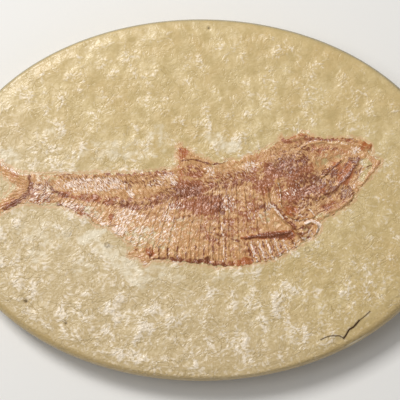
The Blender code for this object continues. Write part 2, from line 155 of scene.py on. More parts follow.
# The crack, the edge of the flake beside it and a shallow furrow, each with its half width and height
CRACK = [(18.6, -12.3), (18.0, -12.85), (17.4, -13.3), (16.8, -14.0), (16.3, -14.3), (15.9, -15.0),
         (15.7, -15.25), (15.3, -15.0), (14.5, -14.95), (13.8, -15.1), (13.2, -15.4)]
CRACK_SIZE = (0.16, -0.30)
FLAKE = [(15.8, -16.2), (16.2, -15.7), (17.3, -15.4), (17.7, -15.0)]
FLAKE_SIZE = (0.5, -0.10)
FURROW = [(12.7, -4.5), (15.9, -3.6), (18.8, -2.4)]
FURROW_SIZE = (0.45, -0.07)
# The dark line in the crack, in its deepest stretch and at the flake, each with half width and strength
CRACK_DARK = (0.10, 1.3)
CRACK_DEEPEST = CRACK[2:7]
DEEPEST_DARK = (0.16, 1.7)
FLAKE_DARK = (0.12, 0.35)
# The pale chip in the rim: centre, half length, half width and turn in degrees
CHIP = ((17.2, -15.8), 1.9, 0.9, 28.0)
# How many times as far it reaches and its strength, then where it begins and is full: in from the
# outline, and down from the top level
CHIP_SIZE = (1.2, 1.3)
CHIP_INSET = (0.36, 0.26)
CHIP_FOOT = (0.8, 0.5)
# The smooth band inside the rim: its width all round and at its widest, and where that is with the spread
BAND_WIDTH = (0.35, 0.75)
BAND_WIDEST = [(-133.0, 35.0), (-48.0, 22.0)]
# How its inner edge winds, with pitch and distance, how softly it ends, and its strength where narrow
BAND_UNEVEN = (1.6, 0.25)
BAND_EDGE = 0.3
BAND_NARROW = 0.5
# Where the rim's colour begins and is full, in from the outline, and the side's, down from the top level
RIM_FADE = (0.30, 0.15)
SIDE_FADE = (0.9, 1.2)
# What is less than this far down from the top level belongs to the top
TOP_REACH = 1.0
# How sharply the rim's and band's colours change between the side towards +Y and the other one. This is
# painted light: darker on the side the key lamp lights and paler on the side in shade
LIT_SIDE_CONTRAST = 0.9

# The fish's bed in the stone: its depth, how far inside the fish's outline it begins and is full, and the
# level of the fish's flat underside
BED_DEPTH = 0.33
BED_FADE = (0.1, 0.6)
FISH_BASE = 4.6

# Spacing of the points in the stone, in the stone below the fish, in the fish, on its outline and on lines
STONE_SPACING = 0.156
HIDDEN_SPACING = 0.6
FISH_SPACING = 0.07
OUTLINE_SPACING = 0.16
LINE_SPACING = 0.3
# The stone is hidden from this far inside the fish's outline
HIDDEN_DEPTH = 1.2
# The mesh has another row of points this far to each side of the crack
CRACK_SIDE = 0.06
# Points nearer than this become one, and filling points keep this share of their spacing from the border
MERGE_DISTANCE = 0.004
FILL_GAP_SHARE = 0.5
# Samples for each stretch of a curve, and the angle in degrees from which an edge is sharp
CURVE_SAMPLES = 16
SMOOTH_ANGLE = 45.0

# The film of bone and skin ends this far outside the fish's outline. It is drawn a little further out and
# what lies too near is cut off
MARGIN = 0.35
OVERSHOOT = 1.05
# Its ragged edge, with the pitch and depth of large and small notches
RAGGED = (0.5, 0.18)
RAGGED_FINE = (0.2, 0.12)
# Its level outside, its rise, and how far inside the ragged edge it begins to rise and is risen
FILM_SUNK = -0.10
FILM_RISE = 0.15
FILM_STEP = (-0.3, 0.3)
# How far inside that edge the relief is full, and where the film's colour begins and is full
RELIEF_DEPTH = 0.35
FILM_EDGE = (-0.02, 0.28)
# Where the stone round the film begins to be stained and is fully so
STAIN_FADE = (-0.45, 0.15)
# The film's lumps and grains, with pitch and height, and the height of the streaks along the bones
FILM_LUMPS = (0.9, 0.06)
FILM_GRAINS = (0.42, 0.035)
STREAK_HEIGHT = 0.022
# The share by which the fish flattens the stone's lumps, and how far inside its outline that is full
FISH_CALM = 0.55
CALM_DEPTH = 1.5
# How what is drawn on the fish wanders: pitch and distance
WARP = (0.5, 0.10)
# A stroke ends at this multiple of its half width and a patch at this one of its half axes, this sharply
STROKE_REACH = 1.4
STROKE_FALL = 1.6
PATCH_REACH = 1.35
PATCH_FALL = 1.2

# The backbone: spacing and half width of its vertebrae, their height at places along X, and the share of
# that height which is left between them
VERTEBRA_SPACING = 0.86
VERTEBRA_HALF_WIDTH = 0.46
VERTEBRA_HEIGHT = ([-18.0, -12.0, -2.0, 2.0], [0.04, 0.08, 0.08, 0.04])
VERTEBRA_WAIST = 0.45
# The belly scutes: spacing, half width and height, darkness, where they start and end inwards from the
# keel, and how far they lean back
SCUTE_SPACING = 0.9
SCUTE_SIZE = (0.16, 0.14)
SCUTE_DARK = 1.0
SCUTE_REACH = (-0.28, 1.3)
SCUTE_LEAN = 0.42
# The knob below the throat, part of a ring: centre, radius, half width and height, the middle of that part
# in degrees round it, and how much of the ring there is
KNOB_CENTRE = (12.1, -3.2)
KNOB_RADIUS = 0.72
KNOB_SIZE = (0.28, 0.26)
KNOB_TURN = 50.0
KNOB_PART = 0.6

# The fish's outline, from the tail along the back to the snout, and from there along the belly
BACK = [(-18.9, 2.9), (-16.7, 2.9), (-14.3, 2.9), (-11.1, 3), (-7.9, 3), (-5.3, 3.3), (-2.7, 3.6)]
DORSAL_FIN = [(-2.75, 4.5), (-2.6, 6.2), (-1.8, 5.85), (-0.8, 5.25), (1, 4.35), (1.8, 4.15), (2.9, 4.4)]
NAPE = [(4.2, 4.5), (5.4, 5), (6.3, 5.3), (7.2, 5.7), (8.1, 6.3), (8.6, 6.6)]
CREST = [(8.8, 7.3), (9.4, 6.8), (10.9, 7.4), (11.8, 7.5), (12.2, 7.2), (13.2, 6.85), (15.1, 6.85)]
ROOF_PLATE = [(17, 6.9), (17.8, 6.7), (18.3, 6.3), (18.9, 6.2), (18.95, 5.4), (18.5, 5.2)]
SNOUT = [(19.2, 4.8), (19.9, 4.4), (19.9, 3.8), (19.4, 3.2), (18.7, 2.4), (17.4, 0.9), (16.9, 0)]
THROAT = [(16.2, -0.8), (15.3, -1.3), (14.4, -1.9), (13.4, -2.4), (13.3, -3.1), (13, -3.7), (12.4, -4.3)]
BELLY = [(11.3, -4.9), (10, -5.7), (8.1, -6.6), (5.5, -7.2), (2.7, -7.5), (0.1, -7.2), (-2.7, -6.9),
         (-5.1, -6.7)]
PELVIC_FIN = [(-5.6, -7.1), (-6.2, -7.4), (-6.4, -7), (-6.9, -6.5), (-7.9, -6.35), (-8.1, -5.8),
              (-7.4, -5.4)]
ANAL_FIN = [(-8, -5), (-8.6, -4.3), (-9.4, -3.8), (-10, -3.1), (-11.5, -2.9), (-12.5, -1.9)]
TAIL_STALK = [(-13.3, -1.8), (-14.7, -1), (-15.8, -0.8), (-17, -0.8), (-18.9, -0.5)]
LOWER_LOBE = [(-20.2, -0.7), (-21.2, -1.25), (-22.1, -1.7), (-24.3, -2.3), (-23.2, -1), (-22.1, 0),
              (-21.3, 0.8)]
UPPER_LOBE = [(-20.9, 1.5), (-21.2, 2), (-22.1, 2.9), (-23.4, 4.1), (-24.9, 5.5), (-23.4, 5),
              (-22.1, 4.3), (-20.5, 3.3)]

# Lines of the skeleton
BACKBONE = [(-18.4, 1.5), (-16.2, 1.0), (-14.2, 0.5), (-11.5, 0.2), (-8.3, -0.4), (-5.8, -0.3),
            (-3.7, 0.3), (-1.6, 0.8), (1.6, 1.4), (4.7, 2.1), (7.6, 3.0)]
BELLY_KEEL = [(-9.2, -3.4), (-6.6, -5.1), (-4.6, -6.2), (-1.3, -6.9), (2.7, -7.2), (5.5, -6.9),
              (8.1, -6.2), (10.4, -5.0)]
# Thin bones in groups, from a line of feet to a line of tips: spacing, half width, height and darkness
THIN_BONES = {
    "ribs": ([(-4.4, -0.6), (-0.6, 0.1), (2.9, 0.9), (6.6, 1.7)],
             [(-6.0, -4.9), (-1.6, -6.2), (2.7, -6.7), (7.6, -5.6)], 0.92, 0.13, 0.10, 0.55),
    "upper spines": ([(-14.6, 1.0), (-8.3, 0.2), (-3.4, 0.9), (1.6, 2.0), (6.6, 3.1)],
                     [(-15.8, 2.5), (-10.0, 2.6), (-4.9, 2.9), (0.2, 3.9), (5.2, 4.7)],
                     0.5, 0.12, 0.07, 0.8),
    "lower spines": ([(-15.3, 0.2), (-11.5, -0.3), (-8.3, -0.9), (-5.4, -0.8)],
                     [(-16.0, -0.5), (-12.8, -1.7), (-10.0, -2.7), (-7.4, -4.4)], 0.5, 0.12, 0.07, 0.45),
    "upper tail rays": ([(-19.3, 2.6), (-19.0, 2.0), (-19.0, 1.6)],
                        [(-24.2, 5.0), (-22.6, 3.6), (-21.2, 2.3)], 0.3, 0.10, 0.06, 0.15),
    "lower tail rays": ([(-19.0, 1.3), (-19.1, 0.8), (-19.4, 0.2)],
                        [(-21.5, 0.7), (-22.6, -0.5), (-23.9, -1.9)], 0.3, 0.10, 0.06, 0.15),
    "back fin rays": ([(-2.3, 4.0), (1.2, 3.9)], [(-2.3, 5.5), (-0.2, 4.6)], 0.3, 0.10, 0.06, 0.8),
}
# Where these bones fade out: centre, half length, half width and turn in degrees, then how many times as
# far that reaches and the share of their height that goes
FADED_PLACE = ((-8.6, -2.4), 4.4, 1.7, -32.0)
FADED_SIZE = (1.4, 0.8)
# Their darkness comes and goes at this pitch, this sharply
BONE_BREAKS = 1.1
BREAK_CONTRAST = 1.1
# Where the belly scutes show as dark bars, with pale ones between them at the front that are partly painted
# glints: feet, tips, spacing
FRONT_BARS = ([(5.0, -4.8), (9.0, -4.4)], [(5.8, -7.0), (9.6, -5.9)], 0.9)
REAR_BARS = ([(-5.6, -5.2), (1.9, -5.2)], [(-5.6, -6.5), (1.8, -6.6)], 1.0)
# Half width and strength of the bars
DARK_BAR = (0.2, 0.8)
PALE_AND_GLINT_BAR = (0.24, 0.95)
# How far the streaks lean back per millimetre away from the backbone, above it and at places below it
LEAN_ABOVE = 0.75
LEAN_BELOW = ([-16.0, -12.0, -8.0, -4.4, -0.6, 2.9, 6.6], [1.0, 0.93, 0.85, 0.40, 0.16, 0.03, -0.14])

# The width of the streaks along the bones, and how many times longer they are in each part of the fish
GRAIN_WIDTH = 0.14
TRUNK_GRAIN = 2.6
BACK_GRAIN = 2.3
SKULL_GRAIN = 1.7
JAW_GRAIN = 2.5
# Tail and skull streaks spread from a root, and have their width this far from it. Jaw streaks are turned
# by so many degrees
TAIL_ROOT = (-18.4, 1.1)
TAIL_FAN = 3.0
SKULL_ROOT = (7.0, 7.5)
SKULL_FAN = 5.0
JAW_TURN = 50.0
# Where the trunk's, skull's and jaws' streaks start along X, and how that winds: pitch and distance
TRUNK_START = -19.0
SKULL_START = 8.4
JAW_START = 12.8
BORDER_WARP = (0.8, 0.6)
# How the streaks wander, with pitch and distance, and the share of it that is left along the ribs
STREAK_WARP = (1.0, 0.42)
RIB_CALM = 0.4

# The skull's ridges, each with its half width and height
RIDGES = {
    "skull roof": ([(9.2, 6.5), (11.3, 6.9), (13.3, 6.6), (15.6, 6.6), (17.5, 6), (18.6, 5.7)],
        0.4, 0.1),
    "orbit rim": ([(10.6, 5.2), (11.6, 6.1), (13.3, 6.35), (15.2, 6.15), (16.6, 5.6), (17.2, 4.9)],
        0.25, 0.09),
    "eye floor": ([(15.6, 4.4), (14.6, 3.6), (13.4, 2.5)], 0.22, 0.12),
    "upper jaw": ([(17.5, 4.5), (17, 3.7), (15.8, 2.1), (14.4, 0.9), (13, 0.3)], 0.36, 0.12),
    "lip": ([(19.6, 4.1), (18.4, 2.5), (17.2, 0.9)], 0.25, 0.08),
    "lower jaw": ([(17, 0.4), (15.6, -0.6), (13.6, -1.8)], 0.35, 0.12),
    "gill cover": ([(8.4, 2.2), (8.7, 1), (8.8, -0.6), (9.6, -1.8), (10.8, -2.3), (12.4, -1.9)],
        0.22, 0.2),
    "shoulder": ([(7.2, 1.4), (7.5, -0.3), (8.4, -1.4), (9.3, -2.4), (10.4, -3.5), (11.2, -4.3)],
        0.3, 0.26),
    "chest fin": ([(9.6, -3.6), (8.4, -3.8), (7, -4), (5.4, -4.1), (4.6, -4.2)], 0.36, 0.16),
}
# The skull's swellings and hollows: centre, half length, half width, turn in degrees and height
SWELLINGS = {
    "braincase": ((10.4, 3.3), 3.0, 2.8, 20.0, 0.26),
    "cheek": ((12.9, 0.9), 2.0, 1.6, 30.0, 0.16),
    "jaw joint": ((16.2, 0.5), 1.1, 0.9, 40.0, 0.13),
    "nose plate": ((17.9, 5.9), 1.1, 0.7, -10.0, 0.10),
    "eye socket": ((13.9, 3.9), 1.6, 1.0, 22.0, -0.26),
    "gill hollow": ((10.2, -0.9), 1.1, 0.8, -10.0, -0.20),
    "shoulder foot": ((11.3, -4.3), 0.6, 0.5, 0.0, 0.15),
}

# The fossil's colouring. A stroke has its line, its half width at both ends and its strength. A patch
# has its centre, half length, half width and strength and, where it is turned, by how many degrees
DARK_STROKES = {
    "tail base": ([(-18.9, 2.6), (-18.6, 1.7), (-18.9, 1.1), (-19.1, 0.5), (-19.7, 0.1), (-20.2, -0.4),
        (-20.9, -0.7), (-21.5, -1)], 0.26, 0.4, 0.72),
    "back band": ([(-15.7, 2.5), (-13.3, 2.6), (-10.6, 2.8), (-7.8, 2.9), (-3.9, 3)], 0.32, 0.44, 0.46),
    "edge below the stalk": ([(-12.6, -1.3), (-12.2, -1.9), (-11.8, -2.8)], 0.05, 0.07, 0.7),
    "stalk knot": ([(-16.8, 1.4), (-16.2, 1), (-15.7, 0.7), (-14.8, 0.4)], 0.08, 0.26, 0.8),
    "backbone behind": ([(-14.9, 0.4), (-13.2, 0.2), (-11.5, 0), (-10.5, -0.2), (-9.4, -0.4)],
        0.36, 0.5, 0.42),
    "backbone middle": ([(-9.8, -0.3), (-8.4, -0.5), (-7.1, -0.6), (-5.8, -0.5), (-4.8, -0.1),
        (-3.7, 0.2), (-2.7, 0.4)], 0.56, 0.62, 0.54),
    "upper edge of the mass": ([(-5, -0.1), (-4.1, 0.8), (-3.1, 1.4), (-2.1, 1.3), (-1, 1.5)],
        0.18, 0.34, 0.6),
    "backbone ahead": ([(-1, 0.7), (0.6, 0.8), (2.3, 1.3), (4.1, 1.7), (5.9, 2.1), (7.4, 2.7)],
        0.7, 0.6, 0.34),
    "line across the ribs": ([(0.5, -3.5), (1.7, -3.8), (2.8, -4.2), (4.3, -4.6)], 0.08, 0.14, 0.6),
    "belly edge": ([(-5.1, -6.6), (-4.3, -6.6), (-3.5, -6.5), (-2.1, -6.8), (-1.3, -7), (0.1, -6.8),
        (0.8, -7), (1.4, -7.2), (2.7, -7.3)], 0.22, 0.28, 0.85),
    "brow": ([(10.9, 5.2), (12.2, 5.5), (13.3, 5.4), (14.7, 5.6), (15.7, 5.2)], 0.12, 0.16, 0.5),
    "eye rim": ([(12.9, 4.8), (12.7, 4), (13, 3.2), (13.8, 2.7)], 0.1, 0.12, 0.3),
    "jaw plate": ([(16.3, 4.3), (15.8, 3.5), (15.1, 2.6), (14.3, 1.8)], 0.1, 0.16, 0.6),
    "upper jaw": ([(17.4, 4.5), (16.9, 3.7), (16.4, 2.9), (15.7, 2.1), (15.1, 1.5), (14.4, 0.9)],
        0.24, 0.22, 0.82),
    "upper jaw front": ([(17.7, 3.6), (17.3, 2.6), (16.8, 1.8), (16.1, 1.2)], 0.06, 0.07, 0.55),
    "eye floor": ([(15.4, 4.3), (14.7, 3.6), (13.9, 2.9)], 0.07, 0.13, 0.9),
    "front belly edge": ([(6.7, -6.6), (8.2, -6.3), (9.5, -5.7), (10.6, -5.1)], 0.07, 0.09, 0.7),
    "shoulder's inner edge": ([(8.2, -0.6), (8.9, -1.5), (9.5, -2.3), (10.3, -3.1)], 0.2, 0.34, 0.62),
    "chest fin": ([(4.9, -4.3), (5.9, -4.1), (6.7, -4), (7.8, -4), (8.9, -3.9), (9.8, -3.8)],
        0.18, 0.46, 0.9),
    "chest fin tip": ([(4.4, -4.3), (5.2, -4.2)], 0.06, 0.16, 0.7),
    "roof": ([(9.9, 5.7), (10.5, 5.9), (11.3, 6.2), (12, 6.6), (12.9, 6.7), (14.2, 6.6), (15.1, 6.7),
        (16.4, 6.7), (17.1, 6.4)], 0.2, 0.2, 0.55),
    "lip": ([(19.2, 3.4), (18.4, 2.6), (17.8, 1.8), (17.4, 0.9)], 0.06, 0.08, 0.22),
    "lip inner": ([(17.9, 3.5), (17.5, 2.5), (16.9, 1.4)], 0.05, 0.06, 0.35),
    "nose notch": ([(18.3, 3.6), (18.9, 3.8)], 0.07, 0.06, 0.9),
    "jaw's lower edge": ([(15.5, -1.4), (16.2, -0.7), (16.9, 0), (17.3, 0.7)], 0.12, 0.14, 0.55),
    "throat edge": ([(15.3, -1.3), (14.4, -1.8), (13.7, -2.4), (13.1, -2.8)], 0.07, 0.07, 0.5),
    "fin root rear": ([(-2.1, 4.2), (-1.6, 4.3), (-0.6, 4.4), (0.5, 4.1), (1.3, 3.9), (2.2, 4),
        (2.9, 4.3)], 0.07, 0.14, 0.85),
    "fin root low": ([(-1.9, 3.2), (-1, 3.4), (-0.1, 3.6), (0.8, 3.9)], 0.1, 0.12, 0.5),
    "fin tip": ([(-2.5, 5.9), (-2.2, 5.5)], 0.14, 0.08, 0.6),
    "streak in the ribs": ([(2.5, -0.9), (2.6, -2.5), (2.7, -4.5), (2.8, -6.9)], 0.08, 0.08, 0.75),
    "back contour": ([(-18.1, 3), (-17, 3), (-16.6, 2.7), (-15.2, 2.7), (-14.3, 2.9), (-13.1, 3),
        (-10.6, 3.1), (-8, 3.1), (-5.6, 3.1), (-3.8, 3.3)], 0.06, 0.11, 0.62),
    "stalk's lower contour": ([(-17.7, -1.1), (-16.3, -1.4), (-15.2, -1.6), (-14.2, -1.5)],
        0.06, 0.06, 0.5),
    "pelvic root": ([(-7.3, -5.4), (-6.5, -5.8), (-5.6, -5.7), (-5.5, -6.2)], 0.1, 0.16, 0.45),
    "under the tail patch": ([(-8.9, -0.7), (-9.5, -1.4), (-9.7, -2.1), (-9.9, -2.8), (-9.1, -2.9)],
        0.1, 0.1, 0.6),
}
DARK_PATCHES = {
    "upper half": ((-9.8, 2), 5.94, 0.99, 0.42),
    "ribs top": ((1.6, 0.2), 2.64, 0.94, 0.5, 5),
    "chest fin blade": ((7.8, -3.9), 2.2, 0.36, 0.9, 4),
    "back middle": ((2.3, 1.7), 2.86, 0.99, 0.5, 8),
    "cheek low": ((12.8, 1), 1.98, 1.87, 0.52),
    "skull top": ((8.9, 5.1), 2.2, 0.88, 0.4, -10),
    "before the eye": ((16, 3.4), 0.88, 1.43, 0.24, -30),
    "gill hollow": ((10.8, -1.2), 1.32, 0.88, 0.5, 10),
    "back ahead": ((3.9, 2.3), 2.86, 0.99, 0.48, 10),
    "stalk specks": ((-17.2, 0.8), 1.54, 1.43, 0.46),
    "mass": ((-1.9, 0.8), 1.98, 0.77, 0.82, 6),
    "mass right": ((-0.6, 1), 0.71, 0.77, 0.95),
    "shoulder back": ((7.5, 1.9), 0.99, 0.99, 0.28),
    "jaw root": ((14.3, 0.9), 0.99, 0.71, 0.72, 30),
    "below the gill hollow": ((11.3, -1.9), 0.99, 0.55, 0.6),
    "tail low": ((-20.4, -0.4), 0.88, 0.42, 1.05, 30),
    "behind the stalk knot": ((-13.1, 2), 1.32, 0.49, 0.55),
    "end of the pale back": ((-8.1, 1.7), 0.66, 0.66, 0.6),
    "back behind the mass": ((-5.6, 2), 2.42, 0.77, 0.46),
    "knob": ((11.4, -3.6), 1.1, 1.1, 0.62),
    "before the fin root": ((-1, 3.2), 1.32, 0.66, 0.42),
    "ahead of the ribs": ((4.5, 1), 0.99, 0.99, 0.3),
    "before the shoulder": ((7, -0.8), 0.77, 0.66, 0.7),
    "shoulder top": ((8.7, 2), 0.66, 0.66, 0.35),
    "rib roots": ((2, -1), 0.88, 0.99, 0.75),
    "ribs behind the flank": ((1.9, -3.7), 0.88, 1.32, 0.42),
    "belly patch": ((0.7, -6.7), 0.51, 0.48, 0.95),
    "belly patch behind": ((-2.2, -6.7), 0.99, 0.37, 0.75, -8),
    "belly patch middle": ((-0.5, -6.8), 0.99, 0.4, 0.75),
    "spot below the stalk": ((-15.5, -0.6), 0.33, 0.18, 0.9),
    "skull": ((9.6, 3.8), 2.2, 1.43, 0.68, 8),
    "skull centre": ((11.3, 1.7), 1.65, 1.43, 0.66, 20),
    "behind the skull": ((7.6, 3.6), 0.44, 0.55, 0.7),
    "cheek": ((11.7, 0.4), 1.32, 0.99, 0.56, 30),
    "cheek front": ((13.1, 1.7), 1.54, 1.1, 0.6, -30),
    "cheek spot": ((13.3, 1.7), 0.77, 0.66, 0.8),
    "under the orbit": ((14.6, 2.9), 0.77, 0.49, 0.8, 40),
    "beside the snout": ((17.2, 3.1), 0.55, 0.44, 0.55, -50),
    "under the spine ahead": ((-1.2, -2.1), 0.77, 0.55, 0.5),
    "back band middle": ((-5.1, 1.8), 0.88, 0.44, 0.6),
    "centre right": ((11.3, -0.2), 1.43, 1.32, 0.58, 20),
    "scute gap": ((10.3, -4.5), 0.88, 0.66, 0.55, 20),
    "upper jaw root": ((16.8, 4.3), 0.66, 0.49, 0.75, -50),
    "below the eye": ((13.9, 3.1), 0.99, 0.6, 0.68, 30),
    "front of the cheek": ((12.5, 2.1), 0.88, 0.77, 0.78),
    "middle of the cheek": ((14.1, 1.7), 0.77, 0.66, 0.68, 45),
    "behind the orbit": ((11.4, 4.3), 0.66, 0.66, 0.85),
    "under the crest": ((11.5, 5.6), 0.77, 0.44, 0.7),
    "gill cover corner": ((10.5, -2.1), 0.66, 0.55, 0.58),
    "skull behind the brow": ((11.1, 5.1), 0.77, 0.55, 0.55),
    "front edge": ((15.5, 4.9), 0.77, 0.49, 0.35),
    "jaw hinge": ((16, 0.8), 1.1, 0.88, 0.7, 40),
    "jaw wide": ((14.7, 2), 1.54, 1.32, 0.34, 45),
    "shoulder foot": ((10.7, -3), 0.66, 0.55, 0.15),
    "throat side": ((13.7, -1), 1.43, 0.66, 0.5, 25),
    "crest": ((11.4, 6.9), 0.66, 0.33, 0.5, 10),
}
RUST_STROKES = {
    "tail inside": ([(-21.4, 3.1), (-20.3, 2.7), (-19.5, 1.9), (-19.5, 0.9), (-20.4, 0.3),
        (-21.7, -0.3)], 0.34, 0.34, 0.36),
    "tail base": ([(-18.9, 2.6), (-18.7, 1.7), (-19, 0.9), (-19.5, 0.2), (-20.5, -0.4)],
        0.22, 0.34, 0.45),
    "chest fin": ([(4.5, -4.3), (5.5, -4.1), (6.5, -4.1), (7.6, -4), (8.7, -3.9), (9.9, -3.9)],
        0.16, 0.6, 1),
    "spine stretch": ([(-15, 0.6), (-13.3, 0.2), (-11.5, 0), (-9.8, -0.3)], 0.22, 0.34, 0.62),
}
RUST_PATCHES = {
    "tail top": ((-20.5, 2.8), 0.99, 0.55, 0.45, -20),
    "tail low": ((-21, -0.5), 1.43, 0.55, 0.6, 25),
    "fin tip": ((-1.9, 5.1), 0.66, 0.77, 0.8),
    "fin root": ((-2.2, 3.2), 0.49, 1.43, 0.55),
    "fin base": ((-0.3, 3.8), 1.32, 0.55, 0.35),
    "before the fin": ((-1.3, 2.7), 0.99, 0.66, 0.25),
    "spot": ((-9.9, -2), 0.33, 0.49, 0.9),
    "rear belly corner": ((-5.6, -5.8), 0.71, 0.44, 0.9, -30),
    "scute block": ((5, -6.8), 0.77, 0.46, 1.4),
    "scutes ahead of it": ((3.9, -6.9), 0.88, 0.35, 0.6),
    "pelvic fin": ((-6.6, -6.7), 1.43, 0.55, 0.4, -10),
    "nape": ((5.9, 4.5), 1.21, 0.55, 0.4, 15),
    "gill hollow": ((9.9, -1.2), 1.04, 0.71, 0.7, 10),
    "throat": ((13.9, -0.9), 1.32, 0.77, 0.5, 25),
    "nose plate": ((18, 5.9), 0.99, 0.66, 0.75, -15),
    "crest": ((10.7, 6.9), 1.32, 0.49, 0.5),
    "chest fin blade": ((7.8, -3.9), 2.31, 0.42, 1, 4),
    "before the eye": ((15.1, 3.5), 1.32, 0.77, 0.6, -45),
    "jaw": ((15.9, 2.6), 0.88, 1.43, 0.95, -40),
    "skull top": ((8.7, 4.8), 1.76, 0.77, 0.35),
    "front": ((14.3, 5.3), 2.2, 0.71, 0.55),
    "knot": ((12.8, 5.5), 0.49, 0.44, 0.6),
    "jaw side": ((16.1, 3.5), 0.55, 0.99, 0.8, -30),
    "lip tip": ((19.5, 4), 0.55, 0.66, 0.4),
    "red spot": ((13.4, 1.2), 0.55, 0.59, 0.85),
    "triangle under the orbit": ((14.7, 3.1), 0.77, 0.44, 0.8, 40),
    "ribs": ((0.5, -3.1), 3.52, 2.42, 0.3),
    "back": ((2.8, 2.6), 3.08, 0.88, 0.25, 8),
}
# The pale layer is partly pale bone and matrix and partly painted glints and highlights: the knob's lit
# arc, the gill cover's lit rim, the shoulder's lit edge, the gill and cheek glints and the sparks
PALE_AND_GLINT_STROKES = {
    "tail top edge": ([(-21.9, 4), (-21.1, 3.5), (-20.4, 3.1), (-19.4, 2.8)], 0.4, 0.24, 0.75),
    "tail low edge": ([(-21.9, -1.5), (-21.1, -1.4), (-20.1, -1), (-19.2, -0.5)], 0.08, 0.12, 0.5),
    "streak in the ribs": ([(2.3, -1.4), (2.4, -4), (2.5, -6.9)], 0.08, 0.12, 0.5),
    "brow": ([(11.3, 6), (12.2, 6.4), (13.3, 6.5), (14.4, 6.4), (15.6, 6.2), (16.4, 6), (16.9, 5.4),
        (17.4, 4.9)], 0.07, 0.14, 0.4),
    "jaw's pale line": ([(16.6, 3.9), (16, 3), (15.2, 2.1)], 0.05, 0.06, 0.3),
    "upper lip": ([(17.7, 4.3), (17.8, 3.4), (17.3, 2.3), (16.8, 1.3)], 0.12, 0.1, 0.55),
    "gill cover rim": ([(9.4, -1.9), (10.2, -2.3), (11, -2.4), (11.8, -2.1)], 0.09, 0.09, 0.6),
    "throat line": ([(11.9, -1), (12.2, -1.4), (12.8, -2)], 0.08, 0.08, 0.8),
    "gill cover front": ([(8.5, 1.9), (8.7, 1), (8.7, -0.1), (8.9, -0.9)], 0.08, 0.08, 0.6),
    "shoulder": ([(7.6, -0.4), (8, -0.8), (8.5, -1.4), (9.1, -2.1)], 0.16, 0.09, 0.8),
    "knob light": ([(11.5, -2.6), (11.9, -2.4), (12.5, -2.4), (13.1, -2.9), (12.9, -3.5)], 0.16, 0.2, 1),
}
PALE_AND_GLINT_PATCHES = {
    "stalk": ((-17.5, 0.8), 1.32, 1.76, 0.46),
    "stalk low": ((-18.8, -0.3), 0.6, 0.33, 0.6, 20),
    "below the stalk": ((-14.4, -0.7), 1.32, 0.6, 0.65, -15),
    "spark": ((-14.4, 1.6), 0.49, 0.44, 0.85),
    "sparks": ((-9.8, 2), 1.21, 0.46, 0.75),
    "spark low": ((-7.7, 0.7), 0.4, 0.59, 0.8, 35),
    "above the spine": ((-12, 1.6), 4.18, 0.94, 0.62),
    "above the spine ahead": ((-4.9, 1.8), 1.32, 0.49, 0.36),
    "rear flank": ((-6.9, -3.5), 0.88, 0.55, 0.6),
    "rear patch": ((-8.2, -1.9), 1.43, 1.04, 0.62, 20),
    "rear patch right": ((-6.8, -2.1), 0.88, 0.77, 0.48),
    "under the spine ahead": ((-2.9, -0.8), 1.21, 0.55, 0.5),
    "rear patch low": ((-9, -3.4), 0.99, 0.66, 0.8),
    "rear patch left": ((-10.6, -2.7), 0.71, 0.44, 0.6, -40),
    "rear corner": ((-7, -4.5), 1.21, 0.99, 0.44),
    "rear edge": ((-11.3, -2), 1.1, 0.44, 0.5, -32),
    "pelvic fin tip": ((-6.2, -7.1), 0.55, 0.33, 0.5, -30),
    "under the spine": ((-13.1, -1), 1.54, 0.55, 0.35, -20),
    "rib head": ((-3.7, -2), 0.51, 0.77, 0.62, 25),
    "above the mass": ((-3.6, 2.6), 1.1, 0.55, 0.55),
    "behind the fin root": ((-3, 1.9), 0.39, 0.39, 0.8),
    "below the fin": ((1, 3.1), 0.77, 0.49, 0.6, -35),
    "flank": ((3.1, -0.4), 0.99, 1.1, 0.48),
    "nape": ((5.4, 3.7), 0.99, 0.66, 0.6, 15),
    "back ahead": ((2.8, 2.6), 3.3, 0.99, 0.2, 8),
    "beside the nose": ((17.1, 5.4), 0.49, 0.55, 0.7, -50),
    "gill glint": ((11, -1.7), 0.55, 0.24, 0.45, 15),
    "cheek glints": ((9.9, 0.8), 0.77, 0.66, 0.42),
    "cheek sparks": ((10.5, 1.5), 0.55, 0.77, 0.25),
    "jaw hinge": ((15.9, 1), 0.66, 0.55, 0.16),
    "behind the shoulder": ((7.7, -0.8), 0.55, 0.55, 0.5),
    "second knob": ((11.3, -4.3), 0.26, 0.24, 1),
    "knob specks": ((11.6, -4), 0.88, 0.77, 0.35, 30),
    "below the knob": ((10.6, -4.8), 0.55, 0.33, 0.4, 30),
    "belly edge": ((-3.4, -7), 0.99, 0.33, 0.5),
    "scutes": ((7.4, -5.8), 1.87, 0.77, 0.16, 8),
    "low flank": ((5.6, -1.7), 0.66, 1.54, 0.3),
    "rear ribs": ((-4.1, -3.4), 2.2, 1.98, 0.34),
}
